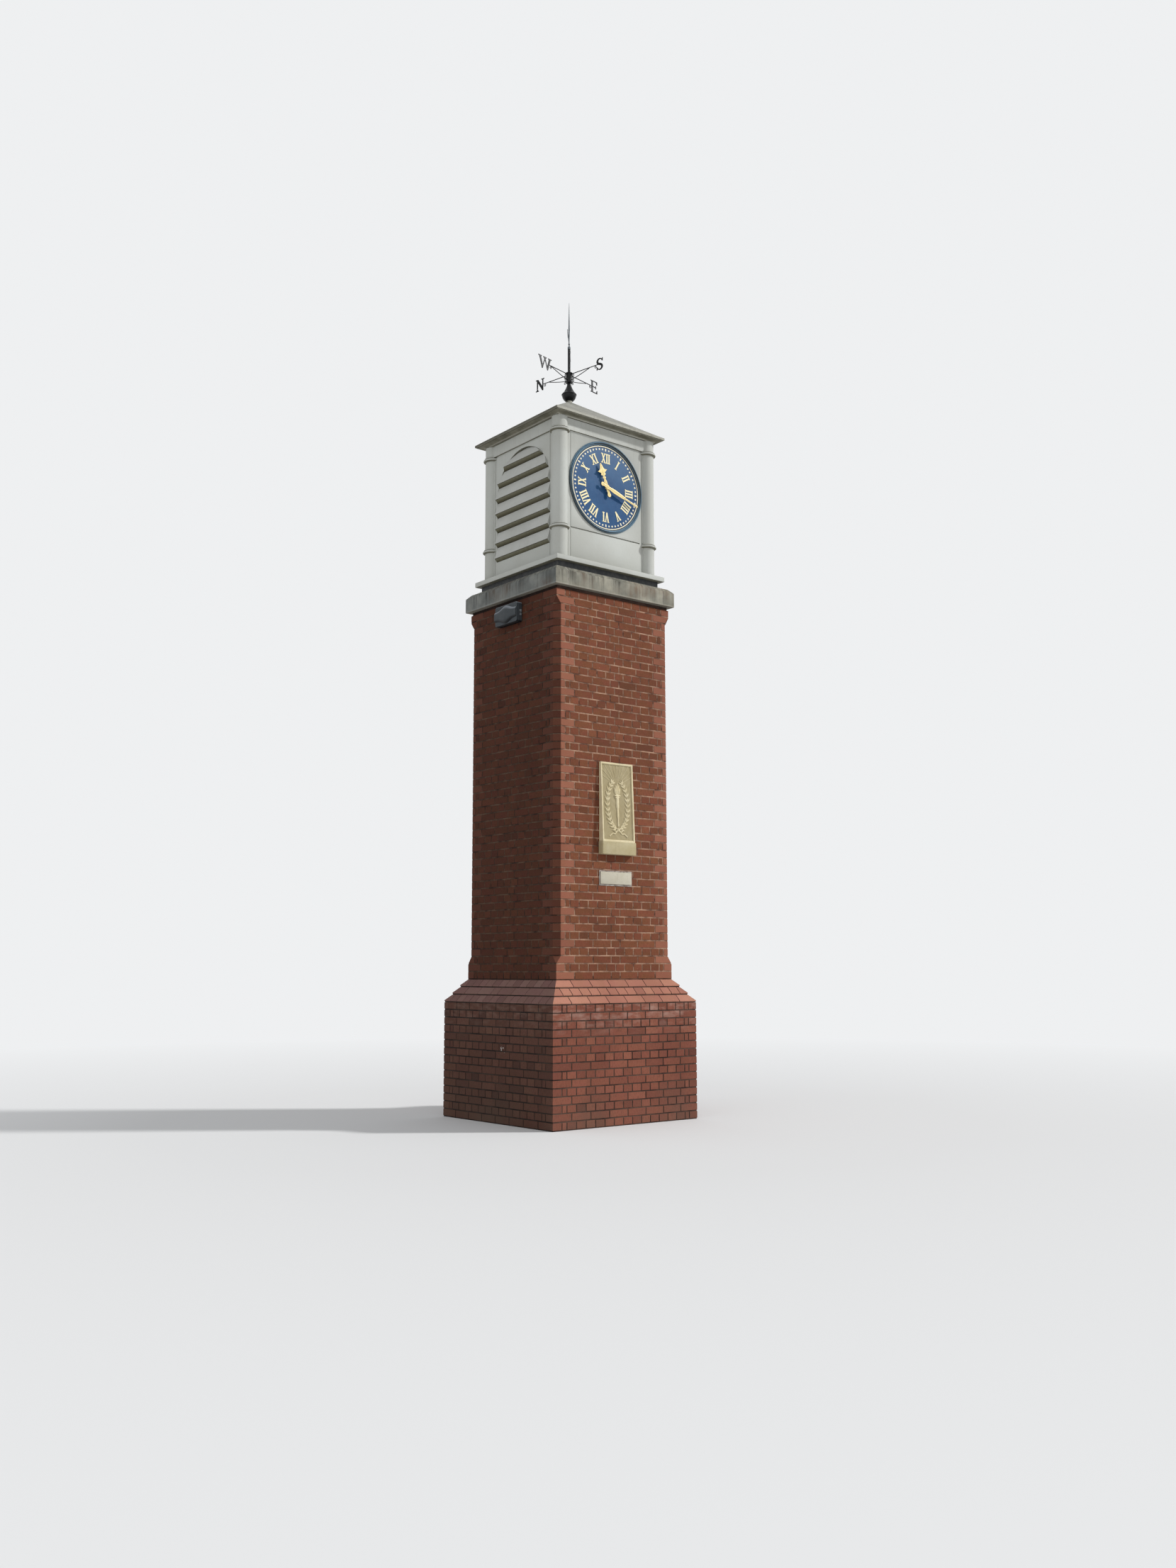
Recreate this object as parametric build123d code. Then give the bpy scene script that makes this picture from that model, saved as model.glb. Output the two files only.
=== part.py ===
from build123d import *
import os

# Clock tower: brick plinth and shaft, stone coping, moulded turret with clocks and a weather vane.
# Millimetres, +Z up, origin at the middle of the plinth's foot. The clocks face -Y and +Y.

# Brickwork
brick_length = 215.0
brick_joint = 10.0
course_height = 75.0
plinth_brick_count = 8.0
shaft_brick_count = 6.5
plinth_courses = 15
slope_courses = 3
shaft_courses = 50
slope_nose = 20.0
chamfer_leg = 56.0
chamfer_first_course = 3
chamfer_last_course = 48
bed_thickness = 32.0
bed_setback = 10.0

# Stone coping
coping_overhang = 44.0
coping_face = 146.0
coping_weathering = 45.0
coping_wash = 15.0
coping_seat = 35.0

# Turret shell
column_spacing = 1140.0
column_radius = 80.0
kerb_recess = 50.0
kerb_height = 67.0
base_overhang = 50.0
base_thickness = 50.0
ring_radius = 103.0
ring_height = 28.0
bead_radius = 91.0
bead_height = 20.0
ring_undercut = 4.0
lower_ring_rise = 300.0
upper_ring_rise = 1293.0
wall_height = 1443.0
panel_recess = 50.0
panel_thickness = 40.0
frieze_stand = 30.0
stile_stand = 10.0
stile_width = 86.0
groove_width = 32.0
groove_depth = 12.0
line_height = 12.0
frieze_rise = 1325.0
cornice_sink = 15.0
eaves_overhang = 60.0
eaves_setback = 15.0
cornice_cove = 27.0
cornice_step = 4.0
cornice_fascia = 25.0
roof_inset = 6.0
roof_rise = 428.0
roof_flat = 32.0
collar_radius = 34.0
collar_height = 20.0

# Clock faces
dial_rise = 832.0
dial_radius = 437.0
dial_thickness = 12.0
dial_setback = 2.0
bezel_width = 37.0
bezel_stand = 22.0
bezel_lip = 14.0
bush_radius = 26.0
bush_stand = 12.0
hour_sleeve_radius = 12.0
minute_arbor_radius = 8.0
bore_clearance = 0.05
hour_hand_stand = 24.0
hand_gap = 5.0
hand_thickness = 4.0
hand_boss_radius = 27.0
minute_boss_radius = 22.0
minute_boss_stand = 4.0
hour_hand_length = 250.0
hour_hand_root = 26.0
hour_hand_waist = 16.0
hour_hand_spur = 44.0
hour_hand_points = 66.0
hour_hand_shoulder = 44.0
hour_hand_cross = 128.0
hour_hand_tip = 12.0
hour_hand_tail = 102.0
hour_tail_width = 16.0
hour_tail_radius = 22.0
minute_hand_length = 418.0
minute_hand_root = 22.0
minute_hand_leaf = 37.0
minute_hand_shoulder = 27.0
minute_hand_tip = 13.0
minute_hand_tail = 88.0
minute_tail_width = 14.0
minute_tail_radius = 21.0
hand_hours = 11
hand_minutes = 18

# Louvres
louvre_half_width = 452.0
louvre_spring_rise = 845.0
louvre_lowest_edge_rise = 220.0
louvre_pitch = 158.0
louvre_blades = 7
louvre_back = 4.0
louvre_stand = 28.0
louvre_return = 36.0

# Finial, compass arms and vane
urn_height = 202.0
urn_radius = 79.5
urn_foot_radius = 40.0
urn_neck_radius = 20.0
hub_height = 111.0
hub_flange_radius = 40.0
hub_waist_radius = 34.0
hub_flange_height = 14.0
mast_radius = 14.5
mast_height = 265.0
compass_turn = 11.0
arm_bar = 9.0
arm_drop = 18.0
brace_reach = 280.0
brace_foot = 16.0
brace_sag = 18.0
scroll_radius = 13.0
scroll_bar = 5.0
scroll_gap = 6.0
letter_height = 134.0
letter_thickness = 7.0
letter_stroke = 24.0
letter_serif = 11.0
letter_bite = 3.0
letter_e_radius = 412.0
letter_n_radius = 412.0
letter_w_radius = 384.0
letter_s_radius = 420.0
letter_e_width = 110.0
letter_n_stem_gap = 76.0
letter_w_span = 152.0
letter_foot_serif = 52.0
letter_n_serif = 44.0
vane_heading = 228.8
vane_running_gap = 0.3
vane_pin_radius = 6.0
vane_pin_length = 20.0
vane_cap_radius = 15.5
vane_cap_height = 30.0
spear_height = 517.0
spear_waist_radius = 4.0
spear_widest_radius = 8.0
spear_tip_radius = 1.5
vane_arm_rise = 55.0
vane_arm_radius = 4.0
vane_boss_radius = 9.0
vane_arm_front = 285.0
vane_arm_back = 180.0
vane_plate = 3.0
arrow_length = 90.0
arrow_half_width = 42.0
tail_length = 140.0
tail_half_height = 60.0
tail_root_half_height = 20.0
tail_notch = 50.0

# Carved panel, name plate and wall light
relief_width = 405.0
relief_foot_height = 2550.0
relief_height = 900.0
relief_top_stand = 25.0
relief_foot_stand = 60.0
relief_block_height = 125.0
relief_block_width = 425.0
relief_block_stand = 66.0
plate_width = 390.0
plate_height = 118.0
plate_stand = 14.0
plate_middle_height = 2325.0
light_width = 370.0
light_height = 200.0
light_body_depth = 48.0
light_cover_depth = 46.0
light_cover_edge = 18.0
light_side_offset = 15.0
light_middle_height = 4968.0
light_corner = 18.0

# Heights and half widths that follow from the sizes above
brick_module = brick_length + brick_joint
plinth_half = (plinth_brick_count * brick_module - brick_joint) / 2
shaft_half = (shaft_brick_count * brick_module - brick_joint) / 2
slope_setback = (plinth_half - shaft_half) / slope_courses
slope_foot = plinth_courses * course_height
shaft_foot = slope_foot + slope_courses * course_height
shaft_top = shaft_foot + shaft_courses * course_height
coping_foot = shaft_top + bed_thickness
coping_half = shaft_half + coping_overhang
coping_top = coping_foot + coping_face + coping_weathering + coping_wash
column_offset = column_spacing / 2
turret_half = column_offset + column_radius
base_half = turret_half + base_overhang
kerb_half = base_half - kerb_recess
coping_inner = kerb_half - coping_seat
kerb_top = coping_top + kerb_height
wall_foot = kerb_top + base_thickness
wall_top = wall_foot + wall_height
cornice_half = turret_half + eaves_overhang
cornice_lip = cornice_half - eaves_setback
cornice_top = wall_top + cornice_cove + cornice_fascia
roof_half = cornice_half - roof_inset
roof_top = cornice_top + roof_rise
urn_foot = roof_top + collar_height
hub_foot = urn_foot + urn_height
hub_top = hub_foot + hub_height
mast_top = hub_top + mast_height
panel_plane = turret_half - panel_recess
frieze_plane = panel_plane + frieze_stand
stile_plane = panel_plane + stile_stand
stile_inner = column_offset - stile_width
dial_centre = wall_foot + dial_rise
dial_face = panel_plane - dial_setback
bezel_radius = dial_radius + bezel_width
hour_hand_back = dial_face + hour_hand_stand
minute_hand_back = hour_hand_back + hand_thickness + hand_gap
arm_height = hub_top - arm_drop


def block(x0, x1, y0, y1, z0, z1):
    """A box between two corners."""
    return Pos((x0 + x1) / 2, (y0 + y1) / 2, (z0 + z1) / 2) * Box(x1 - x0, y1 - y0, z1 - z0)


def square_slab(half, z0, z1):
    """A square slab centred on the tower's axis."""
    return block(-half, half, -half, half, z0, z1)


def frustum(half_below, z0, half_above, z1):
    """A square slab whose sides lean in or out."""
    foot = Pos(0, 0, z0) * Rectangle(2 * half_below, 2 * half_below)
    head = Pos(0, 0, z1) * Rectangle(2 * half_above, 2 * half_above)
    return loft([foot, head])


def turned(points):
    """A solid turned about Z from (radius, height) points, first and last on the axis."""
    profile = make_face(Polyline([(r, 0, z) for r, z in points], close=True))
    return revolve(profile, Axis.Z, 360)


def rod(start, end, radius):
    """A round bar between two points."""
    path = Line(start, end)
    return sweep(Plane(origin=start, z_dir=path % 0) * Circle(radius), path)


def plate_xz(points, y0, y1):
    """A flat plate drawn in X and Z, between two Y planes."""
    outline = make_face(Polyline([(x, y1, z) for x, z in points], close=True))
    return extrude(outline, amount=y1 - y0, dir=(0, -1, 0))


def disc_xz(x, z, radius, y0, y1):
    """A round plate in X and Z, between two Y planes."""
    return Pos(x, (y0 + y1) / 2, z) * Rot(90, 0, 0) * Cylinder(radius, y1 - y0)


def fuse_all(solids):
    """Joins a list of solids into one."""
    whole = solids[0]
    for piece in solids[1:]:
        whole = whole + piece
    return whole


# Masonry


def make_plinth():
    """The square foot, one mass of brickwork."""
    return square_slab(plinth_half, 0, slope_foot)


def make_plinth_slope():
    """Three courses of plinth bricks, each with an upright nose and a slope."""
    courses = []
    for n in range(slope_courses):
        half = plinth_half - n * slope_setback
        foot = slope_foot + n * course_height
        slab = square_slab(half, foot, foot + course_height)
        top_edges = slab.faces().sort_by(Axis.Z)[-1].edges()
        courses.append(chamfer(top_edges, course_height - slope_nose, slope_setback))
    return fuse_all(courses)


def corner_stop_chamfer():
    """What the chamfer takes off the corner at +X +Y, with a slanted stop at each end."""
    low = shaft_foot + (shaft_courses - chamfer_last_course) * course_height
    high = shaft_top - (chamfer_first_course - 1) * course_height
    corner = (shaft_half, shaft_half)
    inner = shaft_half - chamfer_leg
    cut = Face(Wire.make_polygon([(*corner, low + course_height), (inner, shaft_half, low + course_height),
                                  (shaft_half, inner, low + course_height)]))
    prism = extrude(cut, amount=high - low - course_height, dir=(0, 0, 1))
    low_stop = loft([cut, Vertex(*corner, low)])
    high_stop = loft([Pos(0, 0, high - low - course_height) * cut, Vertex(*corner, high + course_height)])
    return fuse_all([prism, low_stop, high_stop])


def make_brick_shaft():
    """The shaft with its four stop-chamfered corners and the mortar bed under the coping."""
    shaft = square_slab(shaft_half, shaft_foot, shaft_top)
    cut = corner_stop_chamfer()
    for n in range(4):
        shaft -= Rot(0, 0, 90 * n) * cut
    return shaft + square_slab(shaft_half - bed_setback, shaft_top, coping_foot)


def make_coping_ring():
    """The weathered coping as one ring, before its joints are cut: face, slope and wash."""
    face_top = coping_foot + coping_face
    slope_top = face_top + coping_weathering
    slope_half = coping_half - coping_weathering
    slab = square_slab(coping_half, coping_foot, face_top)
    slab += frustum(coping_half, face_top, slope_half, slope_top)
    slab += frustum(slope_half, slope_top, kerb_half, coping_top)
    return slab - square_slab(coping_inner, coping_foot, coping_top)


def make_copings():
    """Two long slabs left and right, and two shorter ones between them."""
    ring = make_coping_ring()
    left = ring & block(-coping_half, -coping_inner, -coping_half, coping_half, coping_foot, coping_top)
    front = ring & block(-coping_inner, coping_inner, -coping_half, -coping_inner, coping_foot, coping_top)
    return {
        "coping_left": left,
        "coping_right": Rot(0, 0, 180) * left,
        "coping_front": front,
        "coping_back": Rot(0, 0, 180) * front,
    }


# Turret


def make_kerb():
    """The dark set-back kerb that lifts the turret off the coping."""
    return square_slab(kerb_half, coping_top, kerb_top)


def make_turret_base():
    """The white moulded base flange."""
    return square_slab(base_half, kerb_top, wall_foot)


def ring_profile(foot):
    """Radius and height points of one ring: a broad band under a small bead."""
    band_top = foot + ring_height
    return [(column_radius, foot - ring_undercut), (ring_radius, foot), (ring_radius, band_top),
            (bead_radius, band_top), (bead_radius, band_top + bead_height),
            (column_radius, band_top + bead_height)]


def make_column():
    """One round corner column with its two rings, on the tower's axis."""
    points = [(0, wall_foot), (column_radius, wall_foot)]
    for rise in (lower_ring_rise, upper_ring_rise):
        points += ring_profile(wall_foot + rise)
    points += [(column_radius, wall_top), (0, wall_top)]
    return turned(points)


def place_columns(column):
    """The four corner columns by name."""
    spots = {"front_left": (-1, -1), "front_right": (1, -1), "back_left": (-1, 1), "back_right": (1, 1)}
    return {f"corner_column_{name}": Pos(sx * column_offset, sy * column_offset, 0) * column
            for name, (sx, sy) in spots.items()}


def make_plain_panel(columns):
    """The front wall panel between the columns: field, stiles, grooves and frieze."""
    back = panel_plane - panel_thickness
    groove_floor = panel_plane - groove_depth
    line_foot = wall_foot + lower_ring_rise + ring_height
    frieze_foot = wall_foot + frieze_rise
    panel = block(-column_offset, column_offset, -panel_plane, -back, wall_foot, wall_top)
    panel -= block(-stile_inner, stile_inner, -panel_plane, -groove_floor, line_foot,
                   line_foot + line_height)
    for side in (-1, 1):
        x0, x1 = sorted((side * stile_inner, side * column_offset))
        panel += block(x0, x1, -stile_plane, -panel_plane, wall_foot, frieze_foot)
        x0, x1 = sorted((side * stile_inner, side * (stile_inner - groove_width)))
        panel -= block(x0, x1, -panel_plane, -groove_floor, wall_foot, frieze_foot)
    panel += block(-column_offset, column_offset, -frieze_plane, -panel_plane, frieze_foot, wall_top)
    for column in columns.values():
        panel -= column
    return panel.solids().sort_by(SortBy.VOLUME)[-1]


def make_clock_panel(plain):
    """The front panel with the dial's shallow seat and the hole for the clock's arbors."""
    seat = disc_xz(0, dial_centre, dial_radius, -panel_plane, -(dial_face - dial_thickness))
    hole = disc_xz(0, dial_centre, bush_radius, -panel_plane, -(panel_plane - panel_thickness))
    return plain - seat - hole


def make_cornice():
    """The eaves: a cove, a lip and a square fascia."""
    lip_top = wall_top + cornice_cove
    step_foot = lip_top - cornice_step
    cove = frustum(turret_half - cornice_sink, wall_top, cornice_lip, step_foot)
    cove += square_slab(cornice_lip, step_foot, lip_top)
    return cove + square_slab(cornice_half, lip_top, cornice_top)


def make_roof():
    """The shallow pyramid roof, cut flat under its collar."""
    return frustum(roof_half, cornice_top, roof_flat, roof_top)


def make_roof_collar():
    """The small pale collar under the finial."""
    return Pos(0, 0, roof_top + collar_height / 2) * Cylinder(collar_radius, collar_height)


# Louvre of the left side, facing -X: drawn facing -Y and turned


def louvre_outline(y0, y1):
    """The arched opening as a solid between two Y planes."""
    foot = wall_foot + louvre_lowest_edge_rise - louvre_return
    spring = wall_foot + louvre_spring_rise
    slab = block(-louvre_half_width, louvre_half_width, y0, y1, foot, spring)
    return slab + disc_xz(0, spring, louvre_half_width, y0, y1)


def make_louvre():
    """Seven lapped blades on a back sheet, cut to the arch."""
    inner = panel_plane + louvre_back
    outer = panel_plane + louvre_stand
    lowest = wall_foot + louvre_lowest_edge_rise
    points = [(-panel_plane, lowest - louvre_return), (-inner, lowest - louvre_return)]
    for n in range(louvre_blades):
        edge = lowest + n * louvre_pitch
        points += [(-outer, edge), (-inner, edge + louvre_pitch - louvre_return)]
    points += [(-panel_plane, points[-1][1])]
    profile = make_face(Polyline([(-louvre_half_width, y, z) for y, z in points], close=True))
    blades = extrude(profile, amount=2 * louvre_half_width, dir=(1, 0, 0))
    return blades & louvre_outline(-outer, -panel_plane)


# Clock, drawn on the front


def make_dial():
    """The dial disc with the bush that carries the hour sleeve."""
    disc = disc_xz(0, dial_centre, dial_radius, -dial_face, -(dial_face - dial_thickness))
    bush = disc_xz(0, dial_centre, bush_radius, -(dial_face + bush_stand), -dial_face)
    bore = disc_xz(0, dial_centre, hour_sleeve_radius + bore_clearance,
                   -(dial_face + bush_stand), -(dial_face - dial_thickness))
    return disc + bush - bore


def make_bezel():
    """The raised ring round the dial."""
    front = panel_plane + bezel_stand
    ring = disc_xz(0, dial_centre, bezel_radius, -front, -panel_plane)
    ring = chamfer(ring.edges().group_by(Axis.Y)[0], bezel_lip / 2)
    inner = disc_xz(0, dial_centre, dial_radius, -front, -panel_plane)
    return ring - inner


def clock_turn(degrees):
    """Turns a piece clockwise about the front dial's centre."""
    return Pos(0, 0, dial_centre) * Rot(0, degrees, 0)


def mirrored(widths):
    """Outline points on both sides of a hand from (width, height) pairs, going up."""
    right = [(width / 2, height) for width, height in widths]
    left = [(-x, height) for x, height in reversed(right) if x > 0]
    return right + left


def make_hour_hand():
    """Hour hand with spurs, a pointed cross near its tip, a round tail and its sleeve."""
    y0 = -(hour_hand_back + hand_thickness)
    y1 = -hour_hand_back
    length = hour_hand_length
    tail_middle = hour_tail_radius - hour_hand_tail
    hand = plate_xz(mirrored([
        (hour_tail_width, tail_middle), (hour_hand_root, 0), (hour_hand_waist, 0.35 * length),
        (hour_hand_spur, 0.41 * length), (hour_hand_waist, 0.46 * length),
        (hour_hand_points, 0.53 * length), (hour_hand_shoulder, 0.59 * length),
        (hour_hand_cross, 0.70 * length), (hour_hand_shoulder, 0.80 * length),
        (hour_hand_tip, length)]), y0, y1)
    hand += disc_xz(0, tail_middle, hour_tail_radius, y0, y1)
    hand += disc_xz(0, 0, hand_boss_radius, y0, y1)
    hand += disc_xz(0, 0, hour_sleeve_radius, y1, -(dial_face - dial_thickness))
    hand -= disc_xz(0, 0, minute_arbor_radius + bore_clearance, y0, -(dial_face - dial_thickness))
    angle = 30 * hand_hours + hand_minutes / 2
    return clock_turn(angle) * hand


def make_minute_hand():
    """Minute hand with a broad leaf, a slim blade, a round tail and its arbor."""
    y0 = -(minute_hand_back + hand_thickness)
    y1 = -minute_hand_back
    length = minute_hand_length
    tail_middle = minute_tail_radius - minute_hand_tail
    hand = plate_xz(mirrored([
        (minute_tail_width, tail_middle), (minute_hand_root, 0.12 * length),
        (minute_hand_leaf, 0.24 * length), (minute_hand_shoulder, 0.54 * length),
        (minute_hand_tip, 0.57 * length), (minute_hand_tip, length)]), y0, y1)
    hand += disc_xz(0, tail_middle, minute_tail_radius, y0, y1)
    hand += disc_xz(0, 0, minute_boss_radius, y0 - minute_boss_stand, y1)
    hand += disc_xz(0, 0, minute_arbor_radius, y1, -(dial_face - dial_thickness))
    return clock_turn(6 * hand_minutes) * hand


# Finial, compass and vane


def make_urn():
    """The onion-shaped finial foot."""
    rim = 0.36 * urn_height
    return turned([
        (0, urn_foot), (urn_foot_radius, urn_foot), (0.80 * urn_radius, urn_foot + 0.45 * rim),
        (0.93 * urn_radius, urn_foot + 0.9 * rim), (urn_radius, urn_foot + rim),
        (0.95 * urn_radius, urn_foot + rim + 7), (0.82 * urn_radius, urn_foot + 0.56 * urn_height),
        (0.45 * urn_radius, urn_foot + 0.80 * urn_height), (urn_neck_radius, hub_foot), (0, hub_foot)])


def make_hub():
    """The spool that holds the compass arms."""
    low = hub_foot + hub_flange_height
    high = hub_top - hub_flange_height
    return turned([
        (0, hub_foot), (hub_flange_radius, hub_foot), (hub_flange_radius, low),
        (hub_waist_radius, low), (hub_waist_radius, high), (hub_flange_radius, high),
        (hub_flange_radius, hub_top), (0, hub_top)])


def make_mast():
    """The mast tube with the pin that the vane turns on."""
    mast = Pos(0, 0, (hub_top + mast_top) / 2) * Cylinder(mast_radius, mast_height)
    pin = Pos(0, 0, mast_top + vane_pin_length / 2) * Cylinder(vane_pin_radius, vane_pin_length)
    return mast + pin


def scroll(x, z):
    """A small C scroll as an open ring of square bar, standing in X and Z."""
    half = scroll_bar / 2
    ring = disc_xz(x, z, scroll_radius, -half, half)
    ring -= disc_xz(x, z, scroll_radius - scroll_bar, -half, half)
    return ring


def make_arm(reach):
    """One compass arm along +X: bar, brace and scrolls."""
    half = arm_bar / 2
    inner = hub_waist_radius
    arm = block(inner, reach, -half, half, arm_height - half, arm_height + half)
    foot_z = hub_foot + hub_flange_height + brace_foot
    bend = inner + 0.35 * (brace_reach - inner)
    bend_z = foot_z + brace_sag
    arm += plate_xz([(inner, foot_z - half), (bend, bend_z - half), (brace_reach, arm_height - half),
                     (brace_reach, arm_height + half), (brace_reach - arm_bar, arm_height + half),
                     (bend - half, bend_z + half), (inner, foot_z + half)], -half, half)
    scroll_middle = arm_height - scroll_radius
    arm += scroll(hub_flange_radius + scroll_radius - half, scroll_middle)
    arm += scroll(reach - scroll_radius - scroll_gap, scroll_middle)
    return arm - make_hub()


def bar_xz(x0, z0, x1, z1, width):
    """A straight flat stroke of a letter between two points, cut square across X."""
    y = letter_thickness / 2
    half = width / 2
    return plate_xz([(x0 - half, z0), (x0 + half, z0), (x1 + half, z1), (x1 - half, z1)], -y, y)


def serif(x, z, width):
    """A slab serif centred on x, with its foot at z."""
    y = letter_thickness / 2
    return block(x - width / 2, x + width / 2, -y, y, z, z + letter_serif)


def letter_n():
    """The letter N, centred on the origin."""
    top = letter_height / 2
    stem = letter_n_stem_gap / 2
    thin = 0.75 * letter_stroke
    letter = bar_xz(-stem, -top, -stem, top, thin)
    letter += bar_xz(stem, -top, stem, top, thin)
    letter += bar_xz(-stem, top, stem, -top, 1.25 * letter_stroke)
    for side, z in ((-1, -top), (-1, top - letter_serif), (1, top - letter_serif)):
        letter += serif(side * stem, z, letter_n_serif)
    return letter


def letter_w():
    """The letter W, centred on the origin."""
    top = letter_height / 2
    thin = 0.83 * letter_stroke
    wide = letter_w_span / 2
    valley = wide / 2
    letter = bar_xz(-wide, top, -valley, -top, letter_stroke)
    letter += bar_xz(0, top, -valley, -top, thin)
    letter += bar_xz(0, top, valley, -top, letter_stroke)
    letter += bar_xz(wide, top, valley, -top, thin)
    for x in (-wide, 0, wide):
        letter += serif(x, top - letter_serif, letter_foot_serif)
    return letter


def letter_e():
    """The letter E, centred on the origin, with the three end serifs of its bars."""
    y = letter_thickness / 2
    top = letter_height / 2
    end = letter_e_width / 2
    stem = letter_e_stem()
    letter = bar_xz(stem, -top, stem, top, letter_stroke)
    for z in (-top, top - letter_serif):
        letter += serif(0, z, letter_e_width)
    tall = top / 2
    letter += block(end - letter_serif, end, -y, y, -top, tall - top)
    letter += block(end - letter_serif, end, -y, y, top - tall, top)
    middle = end - 2 * letter_serif
    letter += block(stem, middle, -y, y, -letter_serif / 2, letter_serif / 2)
    return letter + block(middle - letter_serif, middle, -y, y, -tall / 2, tall / 2)


def letter_e_stem():
    """Where the middle of the E's stem stands, from the letter's middle."""
    return letter_stroke - letter_e_width / 2


def letter_s():
    """The letter S, centred on the origin: two open rings and their end serifs."""
    y = letter_thickness / 2
    top = letter_height / 2
    outer = letter_s_ring()
    inner = outer - letter_stroke
    upper = disc_xz(0, top - outer, outer, -y, y) - disc_xz(0, top - outer, inner, -y, y)
    upper -= block(0, outer, -y, y, top - 2 * outer, top - outer)
    lower = disc_xz(0, outer - top, outer, -y, y) - disc_xz(0, outer - top, inner, -y, y)
    lower -= block(-outer, 0, -y, y, outer - top, 2 * outer - top)
    tip = outer - letter_serif
    letter = upper + lower
    letter += block(tip, outer, -y, y, tip, top)
    return letter + block(-outer, -tip, -y, y, -top, -tip)


def letter_s_ring():
    """Outer radius of the two rings of the S."""
    return (letter_height + letter_stroke) / 4


def place_arms():
    """Four arms with their letters, turned as the compass stands: E and S read outwards."""
    near_w = 0.375 * letter_w_span + letter_stroke / 2
    near_n = letter_n_stem_gap / 2 + 0.375 * letter_stroke
    near_e = letter_stroke / 2 - letter_e_stem()
    letters = {
        "east": (0, letter_e(), letter_e_radius, near_e, 0),
        "north": (90, letter_n(), letter_n_radius, near_n, 180),
        "west": (180, letter_w(), letter_w_radius, near_w, 180),
        "south": (270, letter_s(), letter_s_radius, 0.75 * letter_s_ring(), 0)}
    arms = {}
    for name, (bearing, letter, radius, near_edge, turn) in letters.items():
        arm = make_arm(radius - near_edge + letter_bite)
        whole = arm + Pos(radius, 0, arm_height) * Rot(0, 0, turn) * letter
        arms[f"compass_arm_{name}"] = Rot(0, 0, bearing + compass_turn) * whole
    return arms


def make_spear():
    """The vane's upright spear with the cap that turns on the mast's pin."""
    foot = mast_top + vane_running_gap
    cap_top = foot + vane_cap_height
    tip = foot + spear_height
    widest = foot + 0.42 * spear_height
    spear = turned([
        (0, foot), (vane_cap_radius, foot), (vane_cap_radius, cap_top - 6),
        (0.6 * vane_cap_radius, cap_top), (spear_waist_radius, cap_top + 8),
        (spear_widest_radius, widest), (spear_tip_radius, tip), (0, tip)])
    bore_depth = vane_pin_length + vane_running_gap
    bore = Pos(0, 0, foot + bore_depth / 2) * Cylinder(vane_pin_radius + bore_clearance, bore_depth)
    return spear - bore


def make_vane_arrow():
    """The arrow's round arm and head, along +X, threaded on the spear."""
    z = mast_top + vane_arm_rise
    arm = rod((-vane_arm_back, 0, z), (vane_arm_front, 0, z), vane_arm_radius)
    arm += Pos(0, 0, z) * Cylinder(vane_boss_radius, 4 * vane_arm_radius)
    head_foot = vane_arm_front - 12
    tip = head_foot + arrow_length
    half = vane_plate / 2
    head = plate_xz([(head_foot, z), (head_foot - 22, z - arrow_half_width), (tip, z),
                     (head_foot - 22, z + arrow_half_width)], -half, half)
    return arm + head - make_spear()


def make_vane_tail():
    """The swallow tail, slotted over the arrow's arm."""
    z = mast_top + vane_arm_rise
    half = vane_plate / 2
    root = -vane_arm_back + 14
    end = root - tail_length
    notch = end + tail_notch
    tail = plate_xz([(root, z - tail_root_half_height), (end, z - tail_half_height), (notch, z),
                     (end, z + tail_half_height), (root, z + tail_root_half_height)], -half, half)
    return tail - rod((-vane_arm_back, 0, z), (vane_arm_front, 0, z), vane_arm_radius)


# Fittings on the shaft


def make_relief_panel():
    """The carved stone panel, leaning out towards its foot."""
    back = shaft_half
    foot = relief_foot_height + relief_block_height
    top = relief_foot_height + relief_height
    side = -relief_width / 2
    profile = make_face(Polyline([
        (side, -back, foot), (side, -(back + relief_foot_stand), foot),
        (side, -(back + relief_top_stand), top), (side, -back, top)], close=True))
    return extrude(profile, amount=relief_width, dir=(1, 0, 0))


def make_relief_block():
    """The plain block under the carved panel."""
    half = relief_block_width / 2
    return block(-half, half, -(shaft_half + relief_block_stand), -shaft_half,
                 relief_foot_height, relief_foot_height + relief_block_height)


def make_name_plate():
    """The bare stone plate."""
    return block(-plate_width / 2, plate_width / 2, -(shaft_half + plate_stand), -shaft_half,
                 plate_middle_height - plate_height / 2, plate_middle_height + plate_height / 2)


def light_box(x0, x1, width, height):
    """A box of the wall light with rounded upright-face corners."""
    box = block(x0, x1, light_side_offset - width / 2, light_side_offset + width / 2,
                light_middle_height - height / 2, light_middle_height + height / 2)
    return fillet(box.edges().filter_by(Axis.X), light_corner)


def make_light_body():
    """The wall light's back box on the left face."""
    return light_box(-(shaft_half + light_body_depth), -shaft_half, light_width, light_height)


def make_light_cover():
    """The wall light's front cover, bulging between its top and bottom edges."""
    back = shaft_half + light_body_depth
    front = back + light_cover_depth
    bulge = light_cover_depth - light_cover_edge
    radius = ((light_height / 2) ** 2 + bulge ** 2) / (2 * bulge)
    cover = light_box(-front, -back, light_width, light_height)
    return cover & Pos(radius - front, light_side_offset, light_middle_height) * Rot(90, 0, 0) * Cylinder(
        radius, light_width)


def half_turn(solid):
    """The same piece on the other side of the tower."""
    return Rot(0, 0, 180) * solid


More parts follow.
